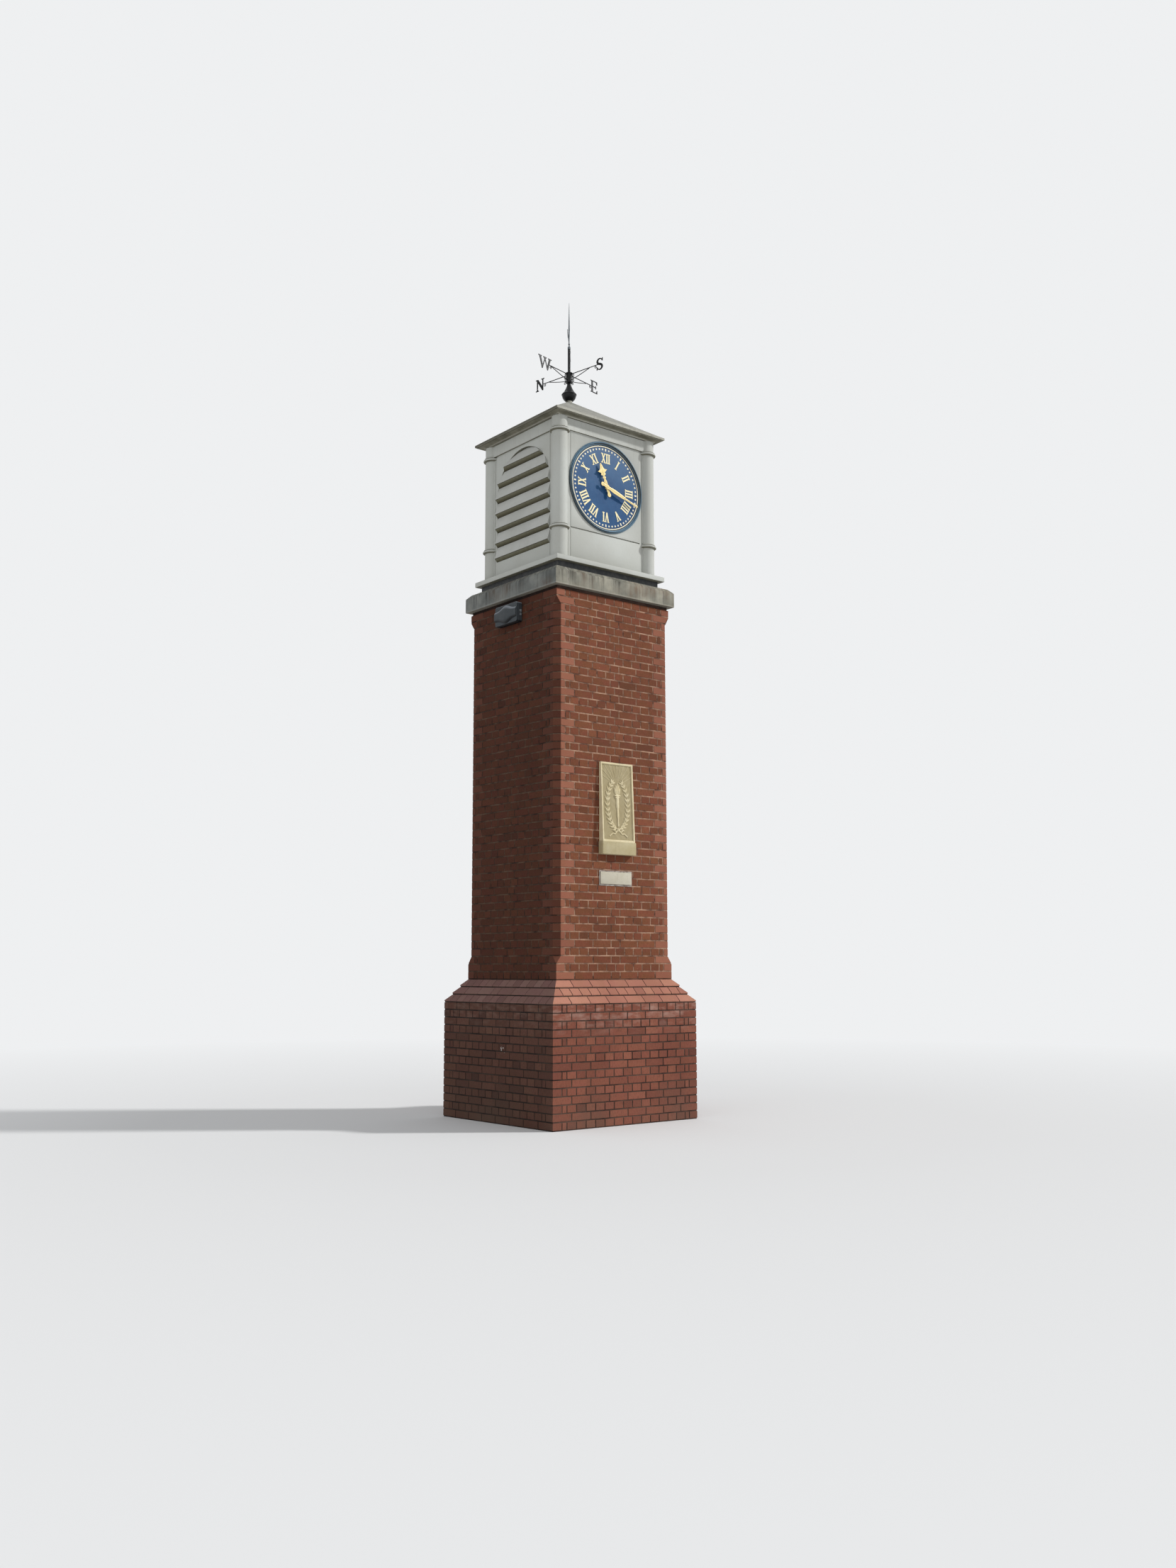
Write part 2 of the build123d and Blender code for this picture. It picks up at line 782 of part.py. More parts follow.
def make_nodes():
    """Every node of the tower by name."""
    columns = place_columns(make_column())
    plain = make_plain_panel(columns)
    clock_panel = make_clock_panel(plain)
    louvre = make_louvre()
    dial = make_dial()
    bezel = make_bezel()
    hour_hand = make_hour_hand()
    minute_hand = make_minute_hand()
    heading = Rot(0, 0, vane_heading)
    nodes = {"plinth": make_plinth(), "plinth_slope": make_plinth_slope(), "brick_shaft": make_brick_shaft()}
    nodes.update(make_copings())
    nodes.update({
        "turret_kerb": make_kerb(),
        "turret_base": make_turret_base(),
        "front_panel": clock_panel,
        "back_panel": half_turn(clock_panel),
        "left_panel": Rot(0, 0, -90) * plain,
        "right_panel": Rot(0, 0, 90) * plain,
    })
    nodes.update(columns)
    nodes.update({
        "left_louvre": Rot(0, 0, -90) * louvre,
        "right_louvre": Rot(0, 0, 90) * louvre,
        "cornice": make_cornice(),
        "turret_roof": make_roof(),
        "roof_collar": make_roof_collar(),
        "front_dial": dial,
        "back_dial": half_turn(dial),
        "front_bezel": bezel,
        "back_bezel": half_turn(bezel),
        "front_hour_hand": hour_hand,
        "back_hour_hand": half_turn(hour_hand),
        "front_minute_hand": minute_hand,
        "back_minute_hand": half_turn(minute_hand),
        "finial_urn": make_urn(),
        "compass_hub": make_hub(),
        "vane_mast": make_mast(),
    })
    nodes.update(place_arms())
    nodes.update({
        "vane_spear": heading * make_spear(),
        "vane_arrow": heading * make_vane_arrow(),
        "vane_tail": heading * make_vane_tail(),
        "relief_panel": make_relief_panel(),
        "relief_block": make_relief_block(),
        "name_plate": make_name_plate(),
        "wall_light_body": make_light_body(),
        "wall_light_cover": make_light_cover(),
    })
    return nodes


os.makedirs("parts", exist_ok=True)
for name, solid in make_nodes().items():
    export_step(solid, f"parts/{name}.step")
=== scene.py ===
import math
import random

import bmesh
import bpy
import numpy as np
from mathutils import Matrix, Vector


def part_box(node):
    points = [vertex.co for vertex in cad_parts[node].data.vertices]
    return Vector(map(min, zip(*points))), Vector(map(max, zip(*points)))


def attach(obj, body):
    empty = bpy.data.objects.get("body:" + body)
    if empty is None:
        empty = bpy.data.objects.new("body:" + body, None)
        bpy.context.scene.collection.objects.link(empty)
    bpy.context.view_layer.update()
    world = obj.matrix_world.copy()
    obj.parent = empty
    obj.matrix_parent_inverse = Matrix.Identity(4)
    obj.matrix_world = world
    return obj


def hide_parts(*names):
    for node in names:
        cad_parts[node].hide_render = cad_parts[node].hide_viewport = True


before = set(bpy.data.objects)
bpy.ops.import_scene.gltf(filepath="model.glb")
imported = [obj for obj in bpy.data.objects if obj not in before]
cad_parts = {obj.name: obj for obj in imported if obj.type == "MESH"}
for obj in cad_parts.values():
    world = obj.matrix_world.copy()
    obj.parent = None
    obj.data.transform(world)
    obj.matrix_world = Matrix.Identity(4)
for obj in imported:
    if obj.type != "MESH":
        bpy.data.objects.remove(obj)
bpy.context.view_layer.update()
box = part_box
SEED = 20
chance = random.Random(SEED)

# Brickwork, in metres
STRETCHER = 0.215
HEADER = 0.1025
CLOSER = 0.04625
JOINT = 0.010
COURSE = 0.075
BRICK_EDGE = 0.0022
PLINTH_EDGE = 0.0014
CHAMFER = 0.056
NO_CHAMFER = 0.0004
SHAFT_ROWS = 50
PLINTH_ROWS = 15
SLOPE_ROWS = 3
HIGH_STOP_ROW = 2
LOW_STOP_ROW = 48
SLOPE_NOSE = 0.020
SLOPE_SPREAD = 0.0022
SHAFT_JOINT_DEPTH = 0.0022
PLINTH_JOINT_DEPTH = 0.0042
LEFT_QUARTERS = 3

# Places on the tower
PLINTH_HALF = box("plinth")[1].x
PLINTH_TOP = box("plinth")[1].z
SHAFT_HALF = box("brick_shaft")[1].x
SHAFT_FOOT = box("brick_shaft")[0].z
SHAFT_TOP = SHAFT_FOOT + SHAFT_ROWS * COURSE
BED_TOP = box("brick_shaft")[1].z
SCUFF_Y, SCUFF_Z = -0.118, 0.690
DIAL_LOW, DIAL_HIGH = box("front_bezel")
DIAL_Z = (DIAL_LOW.z + DIAL_HIGH.z) / 2
PANEL_PLANE = -DIAL_HIGH.y
BUSH_STAND = 0.012
DIAL_FACE = -box("front_dial")[0].y - BUSH_STAND
PANEL_FOOT = box("front_panel")[0].z
PANEL_TOP = box("front_panel")[1].z
FRIEZE_FOOT = PANEL_FOOT + 1.325

# Faces of the turret's walls, from its axis
RECESS_FACE = 0.566
GROOVE_FACE = 0.5965
FIELD_FACE = 0.600
STILE_FACE = 0.604
FRIEZE_FACE = 0.617
CAD_STILE_FACE = 0.610
CAD_FRIEZE_FACE = 0.630
LOUVRE_INNER = 0.589
LOUVRE_OUTER = 0.628
LOUVRE_HALF = 0.452

# Camera, fitted to the brick courses
EYE = Vector((-8.7736, -11.1225, 1.4715))
YAW = math.radians(39.046)
PITCH = math.radians(7.443)
ROLL = math.radians(-0.101)
FOCAL_PIXELS = 1978.0
FRAME_HEIGHT_PIXELS = 2212.0
SENSOR = 36.0

# Studio, in the renderer's own colour values
BACKDROP = (0.86, 0.87, 0.88, 1.0)
AMBIENT = (0.480, 0.490, 0.506, 1.0)
FLOOR = (0.74, 0.74, 0.735, 1.0)


# Mesh helpers


class Heap:
    """Points and faces gathered into one mesh, each face with a tint, a left mark and a material number."""

    def __init__(self):
        self.points, self.faces = [], []
        self.tints, self.lefts, self.slots = [], [], []

    def add(self, points, faces, tint=0.5, slot=0, left=0.0):
        start = len(self.points)
        self.points.extend([tuple(map(float, p)) for p in points])
        self.faces.extend([tuple(start + i for i in face) for face in faces])
        for values, value in ((self.tints, tint), (self.lefts, left), (self.slots, slot)):
            values.extend([value] * len(faces))

    def block(self, low, high, bevel, wear=0.0, slot=0):
        """Adds a box with bevelled edges."""
        self.add(block(low, high, bevel, wear), BLOCK_FACES, slot=slot)

    def face(self, shape, y=0.0, z=0.0, slot=0):
        """Adds a shape drawn about Z, laid down to face -Y."""
        points, faces = shape
        self.add(moved(facing(points), y=y, z=z), faces, slot=slot)

    def turn(self, quarters, z=0.0):
        """Lifts what was drawn at the front and turns it to its own face."""
        self.points = quarter_turn(moved(self.points, z=z), quarters)

    def make(self, name, paints, smooth=None, nodes=(), body="tower"):
        """Makes the piece with its paints, rides it on its body and hides the nodes it stands for."""
        mesh = bpy.data.meshes.new(name)
        mesh.from_pydata(self.points, [], self.faces)
        for key, values in (("tint", self.tints), ("left", self.lefts)):
            mesh.attributes.new(key, "FLOAT", "FACE").data.foreach_set("value", values)
        for paint in paints:
            mesh.materials.append(PAINTS[paint])
        mesh.polygons.foreach_set("material_index", self.slots)
        if smooth is not None:
            mesh.shade_smooth()
            mesh.set_sharp_from_angle(angle=math.radians(smooth))
        mesh.update()
        piece = bpy.data.objects.new(name, mesh)
        bpy.context.scene.collection.objects.link(piece)
        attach(piece, body)
        if nodes:
            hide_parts(*nodes)


def moved(points, x=0.0, y=0.0, z=0.0):
    """Points moved along the axes."""
    return [(px + x, py + y, pz + z) for px, py, pz in points]


def spin(points, cosine, sine):
    """Points turned about the tower's axis."""
    return [(cosine * x - sine * y, sine * x + cosine * y, z) for x, y, z in points]


def quarter_turn(points, quarters):
    """Points turned about the tower's axis by quarter turns, from the front face on."""
    return spin(points, *[(1, 0), (0, 1), (-1, 0), (0, -1)][quarters % 4])


def facing(points):
    """Points drawn about Z, laid down to face -Y."""
    return [(x, -z, y) for x, y, z in points]


def clockwise(points, angle):
    """Points turned clockwise about the Y axis, as seen from the front."""
    cosine, sine = math.cos(angle), math.sin(angle)
    return [(x * cosine + z * sine, y, z * cosine - x * sine) for x, y, z in points]


def lists_of(shape):
    """Points and faces of a bmesh, which ends here."""
    shape.verts.index_update()
    made = [v.co[:] for v in shape.verts], [tuple(v.index for v in f.verts) for f in shape.faces]
    shape.free()
    return made


def bevelled(shape, offset):
    """Points and faces of a bmesh with all its edges bevelled."""
    if offset:
        bmesh.ops.bevel(shape, geom=shape.edges[:], offset=offset, segments=1, affect="EDGES", profile=0.5)
    return lists_of(shape)


def block_template():
    """Signs and bevel marks of a box with bevelled edges, and its faces."""
    shape = bmesh.new()
    bmesh.ops.create_cube(shape, size=2.0)
    places, faces = bevelled(shape, 0.5)
    places = np.array(places)
    return np.sign(places), (np.abs(places) < 0.75).astype(float), faces


BLOCK_SIGNS, BLOCK_MARKS, BLOCK_FACES = block_template()


def block(low, high, bevel, wear=0.0):
    """Points of a box with bevelled, slightly worn edges."""
    low, high = np.array(low), np.array(high)
    half = (high - low) / 2
    points = (low + high) / 2 + BLOCK_SIGNS * (half - BLOCK_MARKS * bevel)
    if wear:
        points = points - BLOCK_SIGNS * np.array([[chance.random() * wear for _ in range(3)] for _ in points])
    return points


BOX_FACES = [(0, 1, 3, 2), (4, 6, 7, 5), (0, 4, 5, 1), (2, 3, 7, 6), (0, 2, 6, 4), (1, 5, 7, 3)]


def box_corners(low, high):
    """The eight corners of a box."""
    return [(x, y, z) for x in (low[0], high[0]) for y in (low[1], high[1]) for z in (low[2], high[2])]


def cut_solid(points, faces, cuts, bevel):
    """A convex solid cut by planes, each (point, outward normal), with bevelled edges."""
    shape = bmesh.new()
    corners = [shape.verts.new(p) for p in points]
    for face in faces:
        shape.faces.new([corners[i] for i in face])
    bmesh.ops.recalc_face_normals(shape, faces=shape.faces[:])
    for point, normal in cuts:
        geometry = shape.verts[:] + shape.edges[:] + shape.faces[:]
        bmesh.ops.bisect_plane(shape, geom=geometry, plane_co=point, plane_no=normal, clear_outer=True)
        bmesh.ops.holes_fill(shape, edges=shape.edges[:], sides=0)
    return bevelled(shape, bevel)


def plate(outline, thickness, bevel):
    """A flat plate from an outline in X and Z, centred on Y 0, with bevelled edges."""
    shape = bmesh.new()
    shape.faces.new([shape.verts.new((x, thickness / 2, z)) for x, z in outline])
    pushed = bmesh.ops.extrude_face_region(shape, geom=shape.faces[:])
    front = [v for v in pushed["geom"] if isinstance(v, bmesh.types.BMVert)]
    bmesh.ops.translate(shape, verts=front, vec=(0, -thickness, 0))
    bmesh.ops.recalc_face_normals(shape, faces=shape.faces[:])
    return bevelled(shape, bevel)


def loft(sections):
    """Points and faces of a closed solid through rings with the same number of points."""
    count = len(sections[0])
    last = (len(sections) - 1) * count
    faces = [tuple(reversed(range(count)))]
    for here in range(0, last, count):
        there = here + count
        for i in range(count):
            j = (i + 1) % count
            faces.append((here + i, here + j, there + j, there + i))
    faces.append(tuple(range(last, last + count)))
    return [p for ring in sections for p in ring], faces


def turned(profile, sides):
    """A solid turned about Z from (radius, height) points that start and end on the axis."""
    rings = profile[1:-1]
    points = [(0.0, 0.0, profile[0][1])]
    for radius, height in rings:
        for i in range(sides):
            angle = math.tau * i / sides
            points.append((radius * math.cos(angle), radius * math.sin(angle), height))
    points.append((0.0, 0.0, profile[-1][1]))
    last = 1 + (len(rings) - 1) * sides
    faces = []
    for i in range(sides):
        j = (i + 1) % sides
        faces.append((0, 1 + j, 1 + i))
        for here in range(1, last, sides):
            faces.append((here + i, here + j, here + sides + j, here + sides + i))
        faces.append((last + i, last + j, last + sides))
    return points, faces


def turned_ring(loop, sides=160):
    """A ring turned about Z from a closed loop of (radius, height) points."""
    count = len(loop)
    points, faces = [], []
    for i in range(sides):
        angle = math.tau * i / sides
        points += [(r * math.cos(angle), r * math.sin(angle), z) for r, z in loop]
        here, there = i * count, (i + 1) % sides * count
        for n in range(count):
            m = (n + 1) % count
            faces.append((here + n, there + n, there + m, here + m))
    return points, faces


def bow(cx, cz, radius, start, end, steps):
    """Points of an arc in degrees, for a profile."""
    angles = [math.radians(start + (end - start) * n / steps) for n in range(steps + 1)]
    return [(cx + radius * math.cos(a), cz + radius * math.sin(a)) for a in angles]


def tube(path, radius, sides=8):
    """A round bar along a path."""
    path = [Vector(p) for p in path]
    angles = [math.tau * i / sides for i in range(sides)]
    sections = []
    side = None
    for n, point in enumerate(path):
        ahead = (path[min(n + 1, len(path) - 1)] - path[max(n - 1, 0)]).normalized()
        if side is None:
            side = ahead.orthogonal().normalized()
        side = (side - ahead * side.dot(ahead)).normalized()
        other = ahead.cross(side)
        sections.append([tuple(point + radius * (math.cos(a) * side + math.sin(a) * other)) for a in angles])
    return loft(sections)


# Materials: colours are written as they look on screen, 0 to 255, and sizes are in metres


PAINTS = {}


def srgb(colour):
    """A colour as it looks on screen, in the renderer's own values."""
    shares = [value / 255 for value in colour]
    return (*[((s + 0.055) / 1.055) ** 2.4 if s > 0.04045 else s / 12.92 for s in shares], 1.0)


class Nodes:
    """Nodes of one tree, made and linked."""

    def __init__(self, tree):
        self.tree = tree

    def feed(self, socket, value):
        """Links a socket, or sets it to a number or a colour."""
        if isinstance(value, bpy.types.NodeSocket):
            self.tree.links.new(value, socket)
        elif isinstance(value, tuple) and len(value) == 3:
            socket.default_value = srgb(value)
        else:
            socket.default_value = value

    def node(self, kind, *inputs, **settings):
        """A node with its settings, and its first inputs fed in turn."""
        made = self.tree.nodes.new(kind)
        for key, value in settings.items():
            setattr(made, key, value)
        for socket, value in zip(made.inputs, inputs):
            self.feed(socket, value)
        return made

    def calc(self, how, first, second=0.0):
        return self.node("ShaderNodeMath", first, second, operation=how).outputs[0]

    def times(self, first, second):
        return self.calc("MULTIPLY", first, second)

    def seen_directly(self):
        """1 for what the camera, gloss and glass see, 0 for the light that falls on the tower."""
        path = self.node("ShaderNodeLightPath").outputs
        mirrored = self.calc("MAXIMUM", path["Is Glossy Ray"], path["Is Transmission Ray"])
        return self.calc("MAXIMUM", path["Is Camera Ray"], mirrored)

    def mix_to_output(self, factor, first, second, output):
        """Two shaders mixed into the tree's output."""
        mix = self.node("ShaderNodeMixShader", factor, first, second)
        self.tree.links.new(mix.outputs[0], self.tree.nodes[output].inputs["Surface"])


class Paint(Nodes):
    """A material whose base colour is laid up in coats, in object coordinates."""

    def __init__(self, name, roughness, metallic=0.0, gloss=0.25):
        self.name = name
        self.material = bpy.data.materials.new(name)
        self.material.use_nodes = True
        super().__init__(self.material.node_tree)
        self.shader = self.tree.nodes["Principled BSDF"]
        self.shader.inputs["Roughness"].default_value = roughness
        self.shader.inputs["Metallic"].default_value = metallic
        self.shader.inputs["Specular IOR Level"].default_value = gloss
        self.place = self.node("ShaderNodeTexCoord").outputs["Object"]
        self.base = None
        self.normal = None

    def noise(self, scale, detail=3.0, shift=0.0, z=1.0, y=1.0, rough=0.55):
        """Soft noise; z and y under 1 stretch it along that axis."""
        spread = self.node("ShaderNodeMapping", self.place)
        spread.inputs["Scale"].default_value = (1.0, y, z)
        spread.inputs["Location"].default_value = (shift, shift * 1.7, shift * 0.6)
        made = self.node("ShaderNodeTexNoise", spread.outputs["Vector"])
        made.inputs["Scale"].default_value = scale
        made.inputs["Detail"].default_value = detail
        made.inputs["Roughness"].default_value = rough
        return made.outputs["Fac"]

    def attribute(self, name):
        return self.node("ShaderNodeAttribute", attribute_name=name).outputs["Fac"]

    def axis(self, name):
        return self.node("ShaderNodeSeparateXYZ", self.place).outputs[name]

    def outward(self, name):
        """One axis of the surface's direction: Z is 1 on top and -1 underneath."""
        normal = self.node("ShaderNodeNewGeometry").outputs["Normal"]
        return self.node("ShaderNodeSeparateXYZ", normal).outputs[name]

    def level(self, value, low, high, to_low=0.0, to_high=1.0):
        return self.node("ShaderNodeMapRange", value, low, high, to_low, to_high).outputs[0]

    def ramp(self, value, *stops):
        made = self.node("ShaderNodeValToRGB", value)
        elements = made.color_ramp.elements
        while len(elements) < len(stops):
            elements.new(0.5)
        for element, (position, colour) in zip(elements, stops):
            element.position = position
            element.color = srgb(colour)
        return made.outputs["Color"]

    def blend(self, factor, first, second, how="MIX"):
        made = self.node("ShaderNodeMix", factor, data_type="RGBA", blend_type=how)
        self.feed(made.inputs[6], first)
        self.feed(made.inputs[7], second)
        return made.outputs[2]

    def cover(self, factor, colour, how="MIX"):
        """Lays a colour over the base."""
        self.base = self.blend(factor, self.base, colour, how)

    def coat(self, value, low, high, at_low, at_high, colour, how="MIX"):
        """Lays a colour over the base, from at_low to at_high of it as the value goes from low to high."""
        self.cover(self.level(value, low, high, at_low, at_high), colour, how)

    def clouded(self, scale, plain, worn, amount):
        """A base of one colour that clouds over into a worn one, and the noise that it follows."""
        cloud = self.noise(scale, 5)
        self.base = self.blend(self.level(cloud, 0.42, 0.68, 0, amount), plain, worn)
        return cloud

    def rough(self, value, low, high, to_low, to_high):
        self.feed(self.shader.inputs["Roughness"], self.level(value, low, high, to_low, to_high))

    def bump(self, value, distance):
        made = self.node("ShaderNodeBump")
        made.inputs["Strength"].default_value = 1.0
        made.inputs["Distance"].default_value = distance
        self.feed(made.inputs["Height"], value)
        if self.normal is not None:
            self.feed(made.inputs["Normal"], self.normal)
        self.normal = made.outputs["Normal"]

    def done(self):
        """Ends the material and lists it by its name."""
        self.feed(self.shader.inputs["Base Color"], self.base)
        if self.normal is not None:
            self.feed(self.shader.inputs["Normal"], self.normal)
        PAINTS[self.name] = self.material


def shaded_side(paint, left_shade, front=SHAFT_HALF):
    """Paints shade on the left face: its bricks and joints are darker and greyer."""
    side = paint.level(paint.outward("X"), -0.78, -0.35, 1.0, 0.0)
    behind_front = paint.level(paint.axis("Y"), -front + 0.002, -front + 0.005)
    left_brick = paint.times(paint.attribute("left"), behind_front)
    paint.cover(paint.calc("MAXIMUM", side, left_brick), left_shade, "MULTIPLY")


def brick_paint(name, clay, burnt, grime, left_shade, drag=0.45, salt=0.0, front=SHAFT_HALF, hues=0.15):
    """Fired clay: a tint for each brick, dragged streaks, grit, and grime in broad patches."""
    paint = Paint(name, 0.9)
    paint.base = paint.ramp(paint.attribute("tint"), *zip((0.0, 0.5, 1.0), clay))
    streaks = paint.noise(95, 5, z=0.28)
    paint.coat(streaks, 0.48, 0.72, 0, drag, burnt)
    grit = paint.noise(420, 2)
    paint.coat(grit, 0.60, 0.72, 0, 0.5, burnt)
    paint.coat(paint.noise(150, 3, 4.0), 0.62, 0.80, 0, 0.45, (196, 150, 128))
    patches = paint.noise(1.4, 4, 9.0, z=0.6)
    paint.coat(patches, 0.48, 0.72, 0, 0.40, grime, "MULTIPLY")
    hue = paint.noise(6.5, 2, 31.0, z=1.8)
    paint.coat(hue, 0.44, 0.60, 0, hues, (236, 255, 222), "MULTIPLY")
    paint.coat(hue, 0.34, 0.46, hues, 0, (255, 240, 250), "MULTIPLY")
    # Painted shade on the left face.
    shaded_side(paint, left_shade, front)
    # Darker on what faces down: painted shade.
    paint.coat(paint.outward("Z"), -0.55, -0.15, 0.8, 0, (112, 100, 94), "MULTIPLY")
    if salt:
        add_salts(paint, salt)
    foot = paint.level(paint.axis("Z"), 0.0, 0.45, 0.55, 0.0)
    paint.cover(paint.times(foot, paint.level(patches, 0.35, 0.6)), (94, 78, 66))
    paint.bump(streaks, 0.0012)
    paint.bump(grit, 0.0006)
    paint.done()


def add_salts(paint, amount):
    """Pale salts that bloomed on the courses under the plinth's slope, and a chalky scuff on the left."""
    outward = paint.outward("X")
    high = paint.level(paint.axis("Z"), PLINTH_TOP - 4 * COURSE, PLINTH_TOP - COURSE, 0.0, amount)
    high = paint.times(high, paint.level(outward, -0.6, -0.2, 0.30, 1.0))
    bloom = paint.level(paint.noise(9, 3, 15.0, z=2.4, rough=0.5), 0.44, 0.72)
    paint.cover(paint.times(high, bloom), (196, 172, 158))
    along = paint.calc("ABSOLUTE", paint.calc("ADD", paint.axis("Y"), -SCUFF_Y))
    above = paint.calc("ABSOLUTE", paint.calc("ADD", paint.axis("Z"), -SCUFF_Z))
    spot = paint.level(paint.calc("MAXIMUM", along, paint.times(above, 1.6)), 0.035, 0.065, 1.0, 0.0)
    spot = paint.times(spot, paint.level(outward, -0.9, -0.7, 1.0, 0.0))
    flecks = paint.level(paint.noise(30, 2, 21.0, z=0.7, y=1.3), 0.60, 0.66)
    paint.cover(paint.times(spot, flecks), (206, 202, 198))


def mortar_paint(name, pale, dark, patchy, left_shade=None, foot=None):
    """Sandy mortar, paler where it was pointed again; with a foot, its upright joints are darker."""
    paint = Paint(name, 0.95)
    paint.base = paint.ramp(paint.noise(patchy, 5, z=1.6, rough=0.65), (0.38, dark), (0.62, pale))
    sand = paint.noise(300, 3, 2.0)
    paint.coat(sand, 0.40, 0.70, 0, 0.35, dark)
    if foot is not None:
        rows = paint.calc("DIVIDE", paint.calc("ADD", paint.axis("Z"), -foot), COURSE)
        paint.coat(paint.calc("FRACT", rows), 0.14, 0.20, 0, 0.5, (194, 188, 184), "MULTIPLY")
        paint.coat(rows, 0.4, 0.6, 0.8, 0, (110, 92, 84), "MULTIPLY")
    # Painted shade on the left face, where a shade colour is given.
    if left_shade is not None:
        shaded_side(paint, left_shade)
    paint.bump(sand, 0.0012)
    paint.bump(paint.noise(45, 3, 5.0), 0.002)
    paint.done()


def coping_paint():
    """Cast stone: grey, with dark runs down its faces, rusty patches, a pale foot and lichen on top."""
    paint = Paint("coping_stone", 0.9)
    cloud = paint.noise(5, 5)
    paint.base = paint.ramp(cloud, (0.30, (114, 113, 103)), (0.55, (147, 144, 131)), (0.75, (168, 163, 146)))
    runs = paint.noise(26, 5, 3.0, z=0.05, rough=0.7)
    height = paint.axis("Z")
    upper = paint.level(height, BED_TOP + 0.01, BED_TOP + 0.15, 0.25, 1.0)
    dark_runs = paint.times(paint.level(runs, 0.47, 0.66), upper)
    dark_runs = paint.times(dark_runs, paint.level(paint.noise(2.2, 2, 7.0), 0.38, 0.55, 0.35, 1.0))
    paint.cover(paint.times(dark_runs, 0.95), (58, 54, 48))
    rust = paint.times(paint.level(paint.noise(3.0, 4, 12.0), 0.50, 0.68), paint.level(runs, 0.35, 0.6))
    paint.cover(paint.times(rust, 0.75), (112, 88, 68))
    paint.coat(height, BED_TOP, BED_TOP + 0.02, 0.5, 0, (190, 184, 168))
    top = paint.level(paint.outward("Z"), 0.3, 0.9)
    lichen = paint.level(paint.noise(32, 4, 1.0), 0.45, 0.60, 0.2, 0.9)
    paint.cover(paint.times(top, lichen), (98, 98, 86))
    # Painted shade on the left face, darker and bluer.
    shaded_side(paint, (214, 222, 236))
    # Darker on what faces down: painted shade.
    paint.coat(paint.outward("Z"), -0.9, -0.4, 0.6, 0, (58, 52, 46))
    paint.bump(paint.noise(160, 5), 0.0022)
    paint.bump(cloud, 0.004)
    paint.done()


def shell_paint(name, plain, warm, grime, eaves, wear=0.5, under_to=-0.30, algae_and_left_shade=0.0):
    """Painted moulding: dull off-white, faint runs of grime below edges, and undersides darkened in a mottled
    dirty colour, partly dirt and partly painted shade.
    """
    paint = Paint(name, 0.62, gloss=0.13)
    paint.base = paint.ramp(paint.noise(2.2, 3), (0.35, warm), (0.65, plain))
    runs = paint.level(paint.noise(30, 5, 6.0, z=0.06, rough=0.7), 0.50, 0.72)
    soiled = paint.times(runs, paint.level(paint.axis("Z"), eaves - 0.55, eaves))
    paint.cover(paint.times(soiled, wear * 0.45), grime)
    speck = paint.noise(55, 4, 8.0)
    paint.coat(speck, 0.60, 0.75, 0, wear * 0.22, grime)
    top = paint.level(paint.outward("Z"), 0.3, 0.9, 0.0, wear)
    paint.cover(paint.times(top, paint.level(speck, 0.35, 0.6, 0.5, 1.0)), grime)
    # Darker on what faces down: dirt and painted shade.
    under_dirt_and_shade = paint.ramp(paint.noise(9, 3, 5.0, z=2.0), (0.35, (92, 89, 74)), (0.68, (122, 119, 104)))
    paint.coat(paint.outward("Z"), under_to - 0.35, under_to, 0.92, 0, under_dirt_and_shade)
    # Darker on what faces left: algae and painted shade.
    if algae_and_left_shade:
        paint.coat(paint.outward("X"), -0.95, -0.6, algae_and_left_shade, 0, (72, 69, 57))
    paint.rough(speck, 0.35, 0.75, 0.56, 0.74)
    paint.bump(paint.noise(16, 2, 3.0), 0.0012)
    paint.bump(paint.noise(380, 2), 0.0002)
    paint.done()


def louvre_paint():
    """The blades: dull off-white faces, and mossy undersides, darkened at the lip and at the wall as painted
    shade.
    """
    paint = Paint("louvre_shell", 0.62, gloss=0.13)
    paint.base = paint.ramp(paint.noise(4.0, 3), (0.35, (184, 185, 179)), (0.65, (193, 194, 189)))
    film = paint.noise(26, 4, 2.0, z=0.5)
    paint.coat(film, 0.55, 0.75, 0, 0.18, (150, 148, 136))
    outwards = paint.level(paint.calc("ABSOLUTE", paint.axis("X")), LOUVRE_INNER, LOUVRE_OUTER)
    # Moss on the undersides, with painted shade towards the wall and under the lip.
    moss_and_shade = paint.ramp(outwards, (0.10, (58, 55, 42)), (0.45, (96, 93, 74)), (0.80, (120, 118, 100)),
                      (0.95, (70, 68, 56)))
    moss_and_shade = paint.blend(paint.level(film, 0.40, 0.65, 0, 0.35), moss_and_shade, (84, 78, 60))
    paint.coat(paint.outward("Z"), -0.40, -0.10, 1, 0, moss_and_shade)
    paint.bump(paint.noise(60, 3, 7.0), 0.0007)
    paint.done()


def roof_paint():
    """The roof's weathered grey, with patches of lichen, pale specks and a dark edge."""
    paint = Paint("roof_shell", 0.75)
    paint.base = paint.ramp(paint.noise(4.5, 5), (0.30, (122, 122, 115)), (0.55, (146, 145, 137)),
                            (0.75, (160, 158, 148)))
    lichen = paint.noise(38, 5, 4.0, rough=0.7)
    paint.coat(lichen, 0.55, 0.70, 0, 0.55, (98, 98, 84))
    paint.coat(paint.noise(70, 3, 11.0), 0.64, 0.74, 0, 0.4, (186, 181, 166))
    eaves = box("cornice")[1].z
    paint.coat(paint.axis("Z"), eaves, eaves + 0.016, 0.75, 0, (92, 90, 84))
    paint.bump(lichen, 0.0014)
    paint.done()


